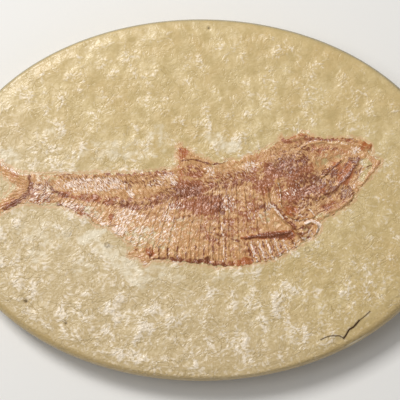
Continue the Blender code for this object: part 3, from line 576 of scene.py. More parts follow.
BARE_PATCHES = {
    "tail inside": ((-21.3, 1.3), 1.1, 0.77, 1),
    "tail notch": ((-21.9, 0.5), 0.66, 0.44, 0.9),
    "eye": ((13.2, 4.3), 0.94, 0.66, 0.5, 18),
    "between jaw and lip": ((18.2, 4), 0.82, 0.6, 0.85, -30),
    "between the lips": ((17.9, 2.6), 0.4, 1.21, 0.75, -25),
    "rear triangle": ((-12, -1.3), 1.43, 0.6, 0.58, -25),
    "rear belly": ((-6.7, -4), 2.2, 1.43, 0.6),
    "belly behind": ((-4.3, -4.8), 1.54, 0.88, 0.5),
    "stalk top": ((-17, 2.4), 1.32, 0.66, 0.52),
    "stalk middle": ((-16.8, 0.9), 1.32, 1.43, 0.36),
    "knob": ((11.7, -3.6), 0.82, 0.71, 0.5, 30),
    "knob foot": ((11.3, -4.8), 1.1, 0.55, 0.5, 20),
    "below the spine": ((-12.4, -0.9), 2.64, 0.66, 0.35, -14),
    "rear ribs": ((-2.1, -2.9), 2.86, 1.54, 0.3),
    "belly edge behind": ((-4.5, -6.9), 1.1, 0.33, 0.4),
    "stalk bottom": ((-16.4, -0.7), 1.54, 0.44, 0.75, -5),
    "ribs": ((0.5, -4), 4.62, 2.64, 0.25),
    "before the shoulder": ((7.2, -1.9), 0.99, 0.99, 0.45),
    "front": ((14.6, 4.9), 1.43, 0.55, 0.35),
    "throat": ((13.3, -1.9), 0.99, 0.55, 0.5, 30),
    "under the fin": ((1.5, 3.7), 0.88, 0.33, 0.35, 5),
    "scute gap": ((9.8, -5), 0.99, 0.55, 0.2, 20),
}
RED_STROKES = {
    "tail base": ([(-19, 2.8), (-18.7, 2.3), (-18.7, 1.7), (-18.9, 1), (-19.3, 0.5), (-20, -0.1),
        (-20.9, -0.6), (-21.4, -0.9)], 0.26, 0.36, 0.6),
    "back band": ([(-10.6, 2.8), (-8.9, 2.8), (-6.7, 2.8), (-4.9, 2.9)], 0.14, 0.34, 0.6),
    "back band ahead": ([(-5.6, 2.6), (-3.9, 2.9), (-2.7, 3)], 0.3, 0.3, 0.6),
    "spine": ([(-15.5, 0.6), (-11.6, 0.1), (-8.4, -0.4), (-5.9, -0.4), (-3.4, 0.4), (-0.1, 1.2)],
        0.4, 1, 0.65),
    "snout edge": ([(18.9, 5.2), (19.7, 4.6), (19.9, 3.9), (19.5, 3.4), (18.4, 2.6), (17.5, 1),
        (17.1, -0.1)], 0.16, 0.2, 0.2),
    "shoulder": ([(7.8, -0.4), (8.7, -1.4), (9.6, -2.4), (10.3, -3)], 0.22, 0.3, 0.7),
    "roof": ([(9.1, 6.5), (10.5, 6.4), (12, 6.6), (13.1, 6.7), (15.1, 6.7), (16.6, 6.5)],
        0.3, 0.26, 0.95),
    "chest fin": ([(4.7, -4.2), (6.7, -4.1), (10, -3.9)], 0.2, 0.6, 0.4),
    "belly low": ([(-4.7, -6.4), (-2.2, -6.7), (1.5, -7), (4.3, -7), (6.7, -6.7), (9.1, -5.7)],
        0.3, 0.3, 0.65),
    "under stalk": ([(-15, -0.6), (-13.7, -1.4), (-12.4, -2), (-11.7, -2.9)], 0.15, 0.2, 0.5),
}
RED_PATCHES = {
    "rib roots behind": ((-3.9, -1.9), 2.86, 0.66, 0.5),
    "reddish back": ((3, 2.1), 3.3, 1.04, 0.65, 9),
    "shoulder back": ((7, 2.4), 1.65, 1.98, 0.95),
    "fin root": ((-0.7, 3.1), 1.43, 0.77, 1.1),
    "head": ((10.2, 2.1), 2.64, 2.75, 0.95),
    "cheek": ((13.3, 1), 1.43, 1.21, 0.8),
    "front": ((13.8, 5.2), 1.54, 0.77, 0.3),
    "mass": ((-1.6, 1), 2.64, 1.32, 0.9, 6),
    "ribs top": ((-0.1, -0.4), 5.06, 0.99, 0.65, 5),
    "ribs middle": ((2.1, -3.4), 2.64, 1.98, 0.65),
    "front ribs": ((5.6, -1.8), 1.98, 2.75, 0.5),
    "jaw": ((14.9, 1.7), 1.54, 1.1, 0.36, 48),
    "front outline": ((13.1, 5.4), 1.76, 0.88, 0.45),
    "throat": ((14.8, -0.5), 1.76, 0.77, 0.8, 30),
    "gill hollow": ((10, -0.9), 1.1, 0.77, 0.6, 10),
    "stalk": ((-17.5, 0.8), 1.54, 1.65, 0.65),
    "below the stalk": ((-13.7, -1), 2.42, 0.77, 0.55, -18),
    "rib heads": ((1.2, -0.6), 3.3, 1.21, 1.05, 5),
    "ribs wide": ((3.4, -3.6), 3.96, 2.86, 0.42),
    "scutes": ((6.7, -5.6), 2.42, 0.99, 0.5, 8),
    "knob": ((11.9, -3.2), 0.99, 0.99, 0.55),
}

# Colours as they look on a screen, from 0 to 255
STONE_TAN = (210, 188, 138)
# Painted sheen: a greyer, flatter tint laid over the stone towards the lower left
STONE_SHEEN_HAZE = (200, 179, 140)
STONE_OCHRE = (197, 170, 115)
# Hollows: darker ochre where the stone is low, partly painted shade
STONE_HOLLOW_SHADE = (190, 166, 112)
STONE_DEEP = (168, 140, 86)
# Pale specks: partly paler grains, partly painted glints on the raised bumps
STONE_PALE_AND_GLINT = (230, 214, 190)
# Smooth patches: partly the paler scraped stone, partly painted sheen and highlights
STONE_SMOOTH_AND_SHEEN = (226, 212, 184)
STONE_BAND = (182, 156, 104)
# Painted light: the band and rim are darker on the lit side towards +Y, and the rim is paler on the shaded
# side
STONE_BAND_LIT_SIDE_PAINTED_DARKER = (174, 156, 114)
STONE_RIM_SHADED_SIDE_PAINTED_LIGHT = (204, 178, 124)
STONE_RIM_LIT_SIDE_PAINTED_DARKER = (148, 136, 104)
STONE_CHIP = (244, 230, 196)
CRACK_BROWN = (58, 34, 6)
STAIN = (204, 160, 118)
FILM_TAN = (204, 157, 104)
FILM_LIGHT = (214, 175, 126)
FILM_BROWN = (176, 121, 74)
FILM_RED = (153, 89, 49)
FILM_RUST = (168, 95, 46)
# Pale: partly pale bone, partly painted glints and highlights
FILM_PALE_AND_GLINT = (242, 219, 202)
# Pink strokes: partly the bone's pinkish tan, partly painted glints
FILM_PINK_GLINT = (212, 160, 134)
FILM_DARK = (120, 62, 27)
BONE_BROWN = (142, 82, 48)
FLOOR_PALE = (226, 224, 220)

# Roughness of the surfaces, and the strength and roughness of the clear sealer on them
STONE_FINISH = (0.48, 0.30, 0.24)
FOSSIL_FINISH = (0.42, 0.42, 0.26)
FLOOR_FINISH = (0.8, 0.0, 0.5)
# Pitches in millimetres of the stone's clouds, hollows, fine grain, pale specks, smooth patches and stain,
# and of the film's coarse texture and reddish clouds
CLOUD_PITCH = 4.5
HOLLOW_SHADE_PITCH = 1.2
FINE_PITCH = 0.24
GLINT_SPECK_PITCH = 0.3
SMOOTH_AND_SHEEN_PITCH = 0.6
STAIN_PITCH = 0.5
COARSE_PITCH = 0.5
RED_PITCH = 1.5
# The share of the stone that pale specks cover, partly paler grains and partly painted glints: where it is
# raised, how much more where its grain is also strong, and where its grain is strong
GLINT_SPECKS_RAISED = 0.2
GLINT_SPECKS_BOTH = 0.36
GLINT_SPECKS_ROUGH = 0.32
# The part of the film's mottling that is spread over 0 to 1, for its browns and for its reds
BROWN_RANGE = (0.1, 1.9)
RED_RANGE = (0.3, 1.7)
# The least strength of the reddish clouds, and how much pink, partly painted glints, there is without red
# and more with it
CLOUD_LEAST = 0.45
PINK_GLINT = (0.05, 0.24)
# The share of the stone that is hollow, painted darker ochre that is partly painted shade, where it isn't
# raised, and the share of the film that is light
HOLLOW_SHADE_SHARE = 0.5
LIGHT_SHARE = 0.35
# How strongly a layer of colour shows where its value is 1
COVER = {
    "sheen_haze": 0.7,
    "fine grain": 0.6,
    "wrinkles": 0.5,
    "smooth": 1.0,
    "stain": 0.6,
    "band": 0.8,
    "rim": 0.8,
    "layers": 0.45,
    "edge": 1.0,
    "red": 0.9,
    "rust": 0.85,
    "bare": 0.9,
    "bone": 0.34,
    "dark": 0.85,
    "pale": 0.75,
}
# How soft the specks of a speckled layer are
SOFTNESS = {
    "hollows": 1.0,
    "specks": 0.9,
    "smooth": 1.6,
    "stain": 0.6,
    "edge": 0.4,
    "light": 0.6,
    "red": 0.9,
    "rust": 0.9,
    "bare": 0.8,
    "bone": 0.6,
    "dark": 0.9,
    "pink": 0.4,
    "pale": 0.36,
}
# Pitches of two textures along the bones, in widths of a streak
STREAK_PITCH = 0.9
STRAND_PITCH = 1.3
# Relief too fine for the meshes: the pitch of the stone's grain, how much of it is there where the stone is
# rough but not raised, and the heights
BUMP_PITCH = 0.27
BUMP_ROUGH = 0.7
GRAIN_BUMP = 0.034
WRINKLE_BUMP = 0.045
LAYER_BUMP = 0.08
FILM_BUMP = 0.05
STREAK_BUMP = 0.022
# The part of a noise node's output that is spread over 0 to 1
NOISE_RANGE = (0.28, 0.72)

# Camera and light. The photograph is taken from nearly straight above and shows this width of the top
VIEW_WIDTH = 44.0
VIEW_CENTRE = (-0.08, -0.055)
CAMERA_ELEVATION = 88.5
LENS = 200.0
SENSOR = 36.0
CLIP_START = 0.01
# Each lamp: direction it shines from in degrees round and up, distance, size and power in watts
LAMPS = {
    "key": (-140.0, 54.0, 300.0, 80.0, 0.72),
    "window": (-110.0, 68.0, 340.0, 130.0, 0.20),
    "fill": (60.0, 50.0, 420.0, 300.0, 0.12),
}
SKY_STRENGTH = 0.21
FLOOR_SIZE = 800.0


def smooth_curve(points, spacing, closed=False):
    """Points every so often along a Catmull-Rom curve through the given ones."""
    points = np.array(points, float)
    if closed:
        points = np.vstack([points[-1], points, points[:2]])
    else:
        points = np.vstack([2 * points[0] - points[1], points, 2 * points[-1] - points[-2]])
    t = np.linspace(0.0, 1.0, CURVE_SAMPLES, endpoint=False)[:, None]
    pieces = []
    for a, b, c, d in zip(points, points[1:], points[2:], points[3:]):
        bend = (2 * a - 5 * b + 4 * c - d) * t**2 + (3 * b - a - 3 * c + d) * t**3
        pieces.append(0.5 * (2 * b + (c - a) * t + bend))
    return evenly(np.vstack([*pieces, points[-2]]), spacing, closed)


def evenly(line, spacing, closed=False):
    """Points every so often along a polyline."""
    along = lengths_along(line)
    places = np.linspace(0.0, along[-1], max(2, round(along[-1] / spacing) + 1))
    curve = np.stack([np.interp(places, along, line[:, axis]) for axis in (0, 1)], axis=1)
    return curve[:-1] if closed else curve


def lengths_along(line):
    """How far along the polyline each of its points is."""
    return np.concatenate([[0.0], np.cumsum(np.linalg.norm(np.diff(line, axis=0), axis=1))])


def point_at(line, share):
    """The point at this share of the polyline's length."""
    along = lengths_along(line)
    return np.array([np.interp(share * along[-1], along, line[:, axis]) for axis in (0, 1)])


def distance_to(points, line, closed=False):
    """The distance from each point to the polyline, and how far along the line its nearest place is."""
    line = np.array(line, float)
    ends = np.vstack([line, line[:1]]) if closed else line
    nearest = np.full(len(points), np.inf)
    place = np.zeros(len(points))
    for start, end, before in zip(ends, ends[1:], lengths_along(ends)):
        step = end - start
        length = math.hypot(*step)
        share = np.clip((points - start) @ step / length**2, 0.0, 1.0)
        distance = np.linalg.norm(points - start - share[:, None] * step, axis=1)
        place = np.where(distance < nearest, before + share * length, place)
        nearest = np.minimum(nearest, distance)
    return nearest, place


def is_inside(points, outline):
    """Whether each point is inside the closed outline: a ray to +X then crosses an odd number of edges."""
    inside = np.zeros(len(points), bool)
    for (x0, y0), (x1, y1) in zip(outline, np.roll(outline, -1, axis=0)):
        crosses = (y0 > points[:, 1]) != (y1 > points[:, 1])
        if y0 != y1:
            inside ^= crosses & (points[:, 0] < x0 + (points[:, 1] - y0) * (x1 - x0) / (y1 - y0))
    return inside


def normals_of(line, closed=False):
    """The unit normal at each point of a polyline, to the left of its direction."""
    if closed:
        along = np.roll(line, -1, axis=0) - np.roll(line, 1, axis=0)
    else:
        along = np.gradient(line, axis=0)
    along /= np.linalg.norm(along, axis=1)[:, None]
    return np.stack([-along[:, 1], along[:, 0]], axis=1)


def smoothstep(value):
    """Limits the value to 0 to 1 and makes its start and end smooth."""
    value = np.clip(value, 0.0, 1.0)
    return value * value * (3.0 - 2.0 * value)


def fade(value, start, full):
    """0 up to the start, 1 from full on and smooth in between."""
    return smoothstep((value - start) / (full - start))


def at_least(low, share):
    """The share from 0 to 1, raised so that it starts from this low value."""
    return low + (1.0 - low) * share


def sloping(points, middle, *slope):
    """A value that changes evenly along X and Y and is this in the slab's middle."""
    return middle + points @ np.array(slope)


def ridge(distance, half_width, height):
    """A smooth ridge: the height where the distance is 0, and 0 from the half width on."""
    return height * smoothstep(1.0 - distance / half_width)


def noise_at(points, pitch, seed=0.0):
    """Smooth noise between about -1 and 1, different for each seed. The pitch can be one for each axis."""
    return np.array([noise.noise((x, y, seed)) for x, y in points / np.array(pitch)])


def turned(points, degrees):
    """Coordinates along and across this direction."""
    x, y = points.T
    cos, sin = math.cos(math.radians(degrees)), math.sin(math.radians(degrees))
    return x * cos + y * sin, y * cos - x * sin


def ellipse_reach(points, centre, half_length, half_width, turn=0.0):
    """0 at the ellipse's centre and 1 on its edge."""
    along, across = turned(points - np.array(centre), turn)
    return np.hypot(along / half_length, across / half_width)


def from_circle(points, centre, radius=0.0):
    """The distance from each point to the circle."""
    return np.abs(np.linalg.norm(points - np.array(centre), axis=1) - radius)


def fish_outline():
    """The whole outline as one closed curve."""
    parts = [BACK, DORSAL_FIN, NAPE, CREST, ROOF_PLATE, SNOUT, THROAT, BELLY, PELVIC_FIN, ANAL_FIN,
             TAIL_STALK, LOWER_LOBE, UPPER_LOBE]
    return smooth_curve(sum(parts, []), OUTLINE_SPACING, closed=True)


def outline_with_margin(outline):
    """The outline moved outwards, without the loops that this makes in its hollow corners."""
    moved = outline + OVERSHOOT * MARGIN * normals_of(outline, closed=True)
    distance, _ = distance_to(moved, outline, closed=True)
    return moved[distance > MARGIN]


def comb(feet, tips, spacing):
    """Straight lines from one curve to another, at even distances along the first."""
    feet = smooth_curve(feet, spacing)
    tips = smooth_curve(tips, spacing)
    places = np.linspace(0.0, 1.0, len(feet))
    return [np.array([foot, point_at(tips, place)]) for foot, place in zip(feet, places)]


def scutes():
    """The belly scutes: short bars across the keel."""
    keel = smooth_curve(BELLY_KEEL, SCUTE_SPACING)
    outer, inner = SCUTE_REACH
    lean = np.array([-SCUTE_LEAN, 0.0])
    return [np.array([p + outer * n, p + inner * n + lean]) for p, n in zip(keel, normals_of(keel))]


def bone_groups():
    """Each group of thin bones: its lines, their half width, their height and how dark they are."""
    groups = [(comb(feet, tips, spacing), *size) for feet, tips, spacing, *size in THIN_BONES.values()]
    return [(scutes(), *SCUTE_SIZE, SCUTE_DARK), *groups]


def near(points, line, reach):
    """Which points lie in the line's bounding box, widened by the reach."""
    line = np.array(line)
    low, high = line.min(axis=0) - reach, line.max(axis=0) + reach
    return np.flatnonzero(((points > low) & (points < high)).all(axis=1))


def thin_lines(points, lines, half_width, height):
    """The highest of many equal ridges."""
    total = np.zeros(len(points))
    for line in lines:
        chosen = near(points, line, half_width)
        if len(chosen):
            rise = ridge(distance_to(points[chosen], line)[0], half_width, height)
            total[chosen] = np.maximum(total[chosen], rise)
    return total


def painted(points, strokes, patches):
    """How strongly each point is coloured by the strokes and patches, and 0 where none of them is."""
    total = np.zeros(len(points))
    for line, start_width, end_width, strength in strokes.values():
        line = smooth_curve(line, LINE_SPACING)
        chosen = near(points, line, max(start_width, end_width))
        if len(chosen):
            distance, place = distance_to(points[chosen], line)
            half_width = start_width + (end_width - start_width) * place / lengths_along(line)[-1]
            shade = strength * smoothstep(STROKE_FALL * (1.0 - distance / (STROKE_REACH * half_width)))
            total[chosen] = np.maximum(total[chosen], shade)
    for centre, half_length, half_width, strength, *turn in patches.values():
        reach = ellipse_reach(points, centre, half_length, half_width, *turn)
        total = np.maximum(total, strength * smoothstep(PATCH_FALL * (PATCH_REACH - reach)))
    return total


def fanned(points, root, side, fan, grain):
    """Coordinates across and along streaks that spread from a root, to +X or, where side is -1, to -X."""
    x, y = (points - np.array(root)).T
    return np.stack([fan * np.arctan2(y, side * x), np.hypot(x, y) / grain])


def warped(points, warp=WARP):
    """The points moved a little by smooth noise, so that what is drawn at them looks natural."""
    pitch, amount = warp
    moves = np.stack([noise_at(points, pitch, 3.1), noise_at(points, pitch, 7.7)], axis=1)
    return points + amount * moves


def along_bones(points):
    """Coordinates across and along the streaks of the tail, the trunk, the skull and the jaws."""
    spine = smooth_curve(BACKBONE, LINE_SPACING)
    above = points[:, 1] - np.interp(points[:, 0], spine[:, 0], spine[:, 1])
    calm = np.where((above < 0.0) & (points[:, 0] < SKULL_START), RIB_CALM, 1.0)[:, None]
    points = points + calm * (warped(points, STREAK_WARP) - points)
    x = points[:, 0]
    lean = np.where(above > 0.0, LEAN_ABOVE, np.interp(x, *LEAN_BELOW))
    away = np.where(above > 0.0, above / BACK_GRAIN, -above / TRUNK_GRAIN)
    trunk = np.stack([x + lean * np.abs(above), away])
    tail = fanned(points, TAIL_ROOT, -1.0, TAIL_FAN, TRUNK_GRAIN)
    skull = fanned(points, SKULL_ROOT, 1.0, SKULL_FAN, SKULL_GRAIN)
    along, across = turned(points, JAW_TURN)
    jaws = np.stack([across, along / JAW_GRAIN])
    pitch, amount = BORDER_WARP
    x = x + amount * noise_at(points, pitch, 2.2)
    return np.select([x < TRUNK_START, x < SKULL_START, x < JAW_START], [tail, trunk, skull], jaws).T


def combed_noise(points, pitch, seed):
    """Smooth noise, drawn out across the slab in the combed zone."""
    combed = ridge(ellipse_reach(points, *COMBED_ZONE), COMBED_FADE, 1.0)
    drawn_out = noise_at(points, pitch * np.array(COMBED_PITCH), seed)
    return combed * drawn_out + (1.0 - combed) * noise_at(points, pitch, seed)


def stone_height(points):
    """The height of the stone's top face over its mean level, and how raised it looks, from 0 to 1."""
    inward = smoothstep(inside_ring(points, TOP_INSET) / LUMP_FADE_AT_RIM)
    share = np.ones(len(points))
    for centre, half_length, half_width, there in ZONES:
        reach = ellipse_reach(points, centre, half_length, half_width)
        share *= 1.0 - ridge(reach, ZONE_FADE, 1.0 - there)
    pitch, lump_height = LUMPS
    height = lump_height * noise_at(points, pitch) * share * inward - TOP_DROP * (1.0 - inward)
    pitch, bump_height = BUMPS
    bumps = combed_noise(points, pitch, 11.3)
    clusters = smoothstep(0.5 + CLUSTER_CONTRAST * combed_noise(points, CLUSTER_PITCH, 2.4))
    pitch, grain_height = GRAINS
    grains = noise_at(points, pitch, 8.8)
    texture = at_least(BUMPS_BETWEEN, clusters) * (bump_height * bumps + grain_height * grains)
    height += texture * at_least(BUMPS_IN_ZONES, share) * at_least(BUMPS_AT_RIM, inward)
    for centre, radius, rise in PITS:
        height += ridge(from_circle(points, centre), PIT_SPREAD * radius, rise)
    for centre, radius, _ in RINGS:
        height += ridge(from_circle(points, centre, radius), RING_HALF_WIDTH, RING_HEIGHT)
    for line, size in ((CRACK, CRACK_SIZE), (FLAKE, FLAKE_SIZE), (FURROW, FURROW_SIZE)):
        height += thin_lines(points, [line], *size)
    raised = smoothstep(0.5 + RAISED_BY_BUMPS * bumps + RAISED_BY_GRAINS * grains)
    return height, clusters * raised * inward * at_least(RAISED_IN_ZONES, share)


def cracks(points):
    """How dark the crack, the flake's edge, the pits and the rings look, from 0 to 1."""
    dark = thin_lines(points, [CRACK], *CRACK_DARK) + thin_lines(points, [FLAKE], *FLAKE_DARK)
    dark = np.maximum(dark, thin_lines(points, [CRACK_DEEPEST], *DEEPEST_DARK))
    for centre, radius, _ in PITS:
        dark = np.maximum(dark, ridge(from_circle(points, centre), PIT_DARK * radius, 1.0))
    for centre, radius, shade in RINGS:
        dark = np.maximum(dark, ridge(from_circle(points, centre, radius), RING_HALF_WIDTH, shade))
    return np.clip(dark, 0.0, 1.0)


def depth_inside(points, outline):
    """The distance to the outline, above 0 inside it and below 0 outside."""
    distance, _ = distance_to(points, outline, closed=True)
    return np.where(is_inside(points, outline), distance, -distance)


def film_edge(points, depth):
    """The depth inside the outline with a ragged edge."""
    pitch, amount = RAGGED
    fine_pitch, fine_amount = RAGGED_FINE
    return depth + amount * noise_at(points, pitch, 4.2) + fine_amount * noise_at(points, fine_pitch, 6.6)


def film_relief(points):
    """The film's lumps, grains and streaks, and the skull's swellings and hollows."""
    pitch, height = FILM_LUMPS
    relief = height * noise_at(points, pitch)
    for centre, half_length, half_width, turn, rise in SWELLINGS.values():
        relief += ridge(ellipse_reach(points, centre, half_length, half_width, turn), 1.0, rise)
    pitch, height = FILM_GRAINS
    relief += height * noise_at(points, pitch, 1.5)
    return relief + STREAK_HEIGHT * noise_at(along_bones(points), GRAIN_WIDTH, 9.4)


def vertebrae(points, drawn):
    """The backbone's height, which swells at each vertebra."""
    from_spine, place = distance_to(drawn, smooth_curve(BACKBONE, 0.5 * VERTEBRA_SPACING))
    swelling = 0.5 + 0.5 * np.cos(2.0 * math.pi * place / VERTEBRA_SPACING)
    height = at_least(VERTEBRA_WAIST, swelling) * np.interp(points[:, 0], *VERTEBRA_HEIGHT)
    return ridge(from_spine, VERTEBRA_HALF_WIDTH, height)


def knob(points):
    """The height of the knob below the throat: a raised ring that is open to one side."""
    x, y = (points - np.array(KNOB_CENTRE)).T
    height = ridge(from_circle(points, KNOB_CENTRE, KNOB_RADIUS), *KNOB_SIZE)
    return height * smoothstep(KNOB_PART + np.cos(np.arctan2(y, x) - math.radians(KNOB_TURN)))


def bones(points):
    """The height of the bones, and how dark the thin ones are."""
    drawn = warped(points)
    height = np.maximum(vertebrae(points, drawn), knob(points))
    for line, half_width, rise in RIDGES.values():
        height = np.maximum(height, thin_lines(drawn, [line], half_width, rise))
    dark = np.zeros(len(points))
    kept = 1.0 - ridge(ellipse_reach(points, *FADED_PLACE), *FADED_SIZE)
    for lines, half_width, rise, shade in bone_groups():
        group = kept * thin_lines(drawn, lines, half_width, rise)
        height = np.maximum(height, group)
        dark = np.maximum(dark, shade * group / rise)
    return height, dark * smoothstep(0.5 + BREAK_CONTRAST * noise_at(points, BONE_BREAKS, 3.9))


def film_rise(points, edge):
    """How far the fossil's surface stands over the stone's, and how dark its thin bones are."""
    height, dark = bones(points)
    inward = smoothstep(edge / RELIEF_DEPTH)
    film = FILM_SUNK + FILM_RISE * fade(edge, *FILM_STEP)
    return film + inward * (film_relief(points) + height), dark * inward


def hex_grid(half_x, half_y, spacing):
    """Points in rows, with every other row half a step along, so that equal triangles lie between them."""
    columns = np.arange(-half_x, half_x, spacing)
    rows = np.arange(-half_y, half_y, spacing * math.sqrt(0.75))
    x, y = np.meshgrid(columns, rows)
    x += 0.5 * spacing * (np.arange(len(rows)) % 2)[:, None]
    return np.stack([x.ravel(), y.ravel()], axis=1)


def sheet_mesh(outline, fill, lines=()):
    """Triangles inside the outline, with a corner at every filling point and an edge along every line."""
    points = outline.tolist()
    edges = [(i, (i + 1) % len(outline)) for i in range(len(outline))]
    for line in lines:
        first = len(points)
        points += line.tolist()
        edges += [(first + i, first + i + 1) for i in range(len(line) - 1)]
    points += fill.tolist()
    result = delaunay_2d_cdt([Vector(p) for p in points], edges, [], 0, MERGE_DISTANCE)
    corners = np.array([tuple(p) for p in result[0]])
    faces = np.array([tuple(face) for face in result[2]])
    return corners, faces[is_inside(corners[faces].mean(axis=1), outline)]


def bmesh_sheet(corners, heights, faces):
    """A sheet of triangles at these heights, without the points that no triangle uses."""
    sheet = bmesh.new()
    made = [sheet.verts.new((x, y, z)) for (x, y), z in zip(corners, heights)]
    for a, b, c in faces:
        sheet.faces.new((made[a], made[b], made[c]))
    for vert in [vert for vert in sheet.verts if not vert.link_faces]:
        sheet.verts.remove(vert)
    return sheet


def extrude_loop(sheet, edges, move):
    """Extrudes the loop, moves each new point by the given function, and returns the new loop."""
    result = bmesh.ops.extrude_edge_only(sheet, edges=edges)["geom"]
    for vert in (item for item in result if isinstance(item, bmesh.types.BMVert)):
        vert.co = move(vert.co)
    return [item for item in result if isinstance(item, bmesh.types.BMEdge) and item.is_boundary]


def turn_of(points):
    """The angle of each point round the slab's oval, in degrees from +X."""
    return np.degrees(np.arctan2(points[..., 1] / HALF_WIDTH, points[..., 0] / HALF_LENGTH))


def bulges(turn, places, low, high):
    """A value that is low round the slab, except that it swells to high at some places."""
    value = np.full(np.shape(turn), low)
    for middle, spread in places:
        value = np.maximum(value, low + (high - low) * np.exp(-(((turn - middle) / spread) ** 2)))
    return value


def edge_share(turn):
    """The width of the ground edge at this angle, as a share of the full one."""
    return bulges(turn, EDGE_WIDEST, EDGE_NARROW, 1.0)


def ring(inset):
    """A loop round the slab, this far in from its outline where the ground edge has its full width."""
    turn = np.linspace(0.0, 2.0 * math.pi, RIM_STEPS, endpoint=False)
    circle = np.stack([np.cos(turn), np.sin(turn)], axis=1)
    share = edge_share(turn_of(circle * (HALF_LENGTH, HALF_WIDTH)))
    return circle * (np.array([HALF_LENGTH, HALF_WIDTH]) - (inset * share)[:, None])


def rim_point(place, inset, height):
    """The point of that loop nearest to the place, this high."""
    turn = math.atan2(place.y / HALF_WIDTH, place.x / HALF_LENGTH)
    inset *= float(edge_share(math.degrees(turn)))
    x, y = (HALF_LENGTH - inset) * math.cos(turn), (HALF_WIDTH - inset) * math.sin(turn)
    return Vector((x, y, height))


def inside_ring(points, inset):
    """The distance from each point to the loop, above 0 inside it."""
    reach = ellipse_reach(points, (0.0, 0.0), HALF_LENGTH, HALF_WIDTH)
    return (1.0 - reach) * HALF_WIDTH - inset * edge_share(turn_of(points))


def finish_piece(name, sheet, material, node):
    """Turns the closed mesh's faces outwards, scales it to metres and lets it stand for its CAD node."""
    bmesh.ops.recalc_face_normals(sheet, faces=sheet.faces)
    bmesh.ops.scale(sheet, vec=(MM, MM, MM), verts=sheet.verts)
    mesh = bpy.data.meshes.new(name)
    sheet.to_mesh(mesh)
    sheet.free()
    mesh.shade_smooth()
    mesh.set_sharp_from_angle(angle=math.radians(SMOOTH_ANGLE))
    mesh.materials.append(material)
    piece = bpy.data.objects.new(name, mesh)
    bpy.context.scene.collection.objects.link(piece)
    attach(piece, "root")
    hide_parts(node)
    return piece


def places_of(piece):
    """The piece's vertices in millimetres."""
    places = np.empty(3 * len(piece.data.vertices), np.float32)
    piece.data.vertices.foreach_get("co", places)
    return places.reshape(-1, 3).astype(float) / MM


def add_values(piece, name, values):
    """Keeps one number, or one vector, for each of the piece's points, for its material to read."""
    is_vector = values.ndim > 1
    attribute = piece.data.attributes.new(name, "FLOAT_VECTOR" if is_vector else "FLOAT", "POINT")
    attribute.data.foreach_set("vector" if is_vector else "value", values.astype(np.float32).ravel())


def make_stone(outline):
    """The slab: a lumpy top, a smooth ground edge and a flat base."""
    rim = ring(TOP_INSET)
    shown = hex_grid(HALF_LENGTH, HALF_WIDTH, STONE_SPACING)
    shown = shown[inside_ring(shown, TOP_INSET) > FILL_GAP_SHARE * STONE_SPACING]
    shown = shown[depth_inside(shown, outline) < HIDDEN_DEPTH]
    hidden = hex_grid(HALF_LENGTH, HALF_WIDTH, HIDDEN_SPACING)
    hidden = hidden[depth_inside(hidden, outline) > HIDDEN_DEPTH]
    crack = evenly(np.array(CRACK), STONE_SPACING)
    beside = CRACK_SIDE * normals_of(crack)
    corners, faces = sheet_mesh(rim, np.vstack([shown, hidden]), [crack, crack + beside, crack - beside])
    height, _ = stone_height(corners)
    height -= BED_DEPTH * fade(depth_inside(corners, outline), *BED_FADE)
    sheet = bmesh_sheet(corners, TOP_LEVEL + height, faces)
    edge = [item for item in sheet.edges if item.is_boundary]
    steps = [(inset, TOP_LEVEL - drop) for inset, drop in EDGE_STEPS[1:]]
    side = np.linspace(steps[-1][1], BASE_ARRIS, SIDE_STEPS + 1)[1:]
    for inset, level in [*steps, *((0.0, level) for level in side), (BASE_ARRIS, 0.0)]:
        edge = extrude_loop(sheet, edge, lambda place: rim_point(place, inset, level))
    bmesh.ops.contextual_create(sheet, geom=edge)
    return finish_piece("limestone", sheet, stone_material(), "limestone_slab")


def colour_stone(stone, outline):
    """Values for the stone's material, worked out at each of its points."""
    places = places_of(stone)
    points = places[:, :2]
    down = TOP_LEVEL - places[:, 2]
    on_top = down < TOP_REACH
    from_rim = inside_ring(points, 0.0)
    turn = turn_of(points)
    pitch, amount = BAND_UNEVEN
    uneven = amount * noise_at(points, pitch, 5.1)
    narrow, wide = BAND_WIDTH
    width = bulges(turn, BAND_WIDEST, narrow, wide)
    band = smoothstep(0.5 + (width + uneven - from_rim) / BAND_EDGE)
    band *= at_least(BAND_NARROW, (width - narrow) / (wide - narrow))
    _, raised = stone_height(points)
    add_stone_values(stone, places, raised * (1.0 - band))
    add_values(stone, "band", band)
    add_values(stone, "rim", fade(from_rim, *RIM_FADE))
    add_values(stone, "side", fade(down, *SIDE_FADE))
    add_values(stone, "layers", places * LAYER_SQUEEZE)
    # Smooth patches: partly paler scraped stone, partly painted sheen and highlights
    add_values(stone, "smooth", painted(points, {}, SMOOTH_AND_SHEEN_PATCHES))
    add_values(stone, "crack", cracks(points) * on_top)
    # Painted light: 1 on the side towards +Y that the key lamp lights, where rim and band are painted
    # darker
    add_values(stone, "upper", smoothstep(0.5 + LIT_SIDE_CONTRAST * np.sin(np.radians(turn))))
    chip = ridge(ellipse_reach(points, *CHIP), *CHIP_SIZE) * fade(from_rim, *CHIP_INSET)
    add_values(stone, "chip", chip * fade(down - 0.5 * uneven, *CHIP_FOOT))
    stain = fade(film_edge(points, depth_inside(points, outline)), *STAIN_FADE)
    add_values(stone, "stain", stain * on_top)


def stone_grain(places):
    """Coordinates along and across the stone's fine grain, and its height."""
    stretch, turn = STONE_GRAIN
    along, across = turned(warped(places[:, :2], STONE_WARP), turn)
    return np.stack([along / stretch, across, places[:, 2]], axis=1)


def add_stone_values(piece, places, raised):
    """What the colour of bare stone depends on, for the slab and for where it shows through the film."""
    points = places[:, :2]
    add_values(piece, "raised", raised)
    # Painted sheen: a greyer tint towards the lower left
    add_values(piece, "sheen_haze", smoothstep(sloping(points, *SHEEN_HAZE)))
    add_values(piece, "rough", np.clip(sloping(points, *ROUGH), 0.0, 1.0))
    add_values(piece, "stone_grain", stone_grain(places))


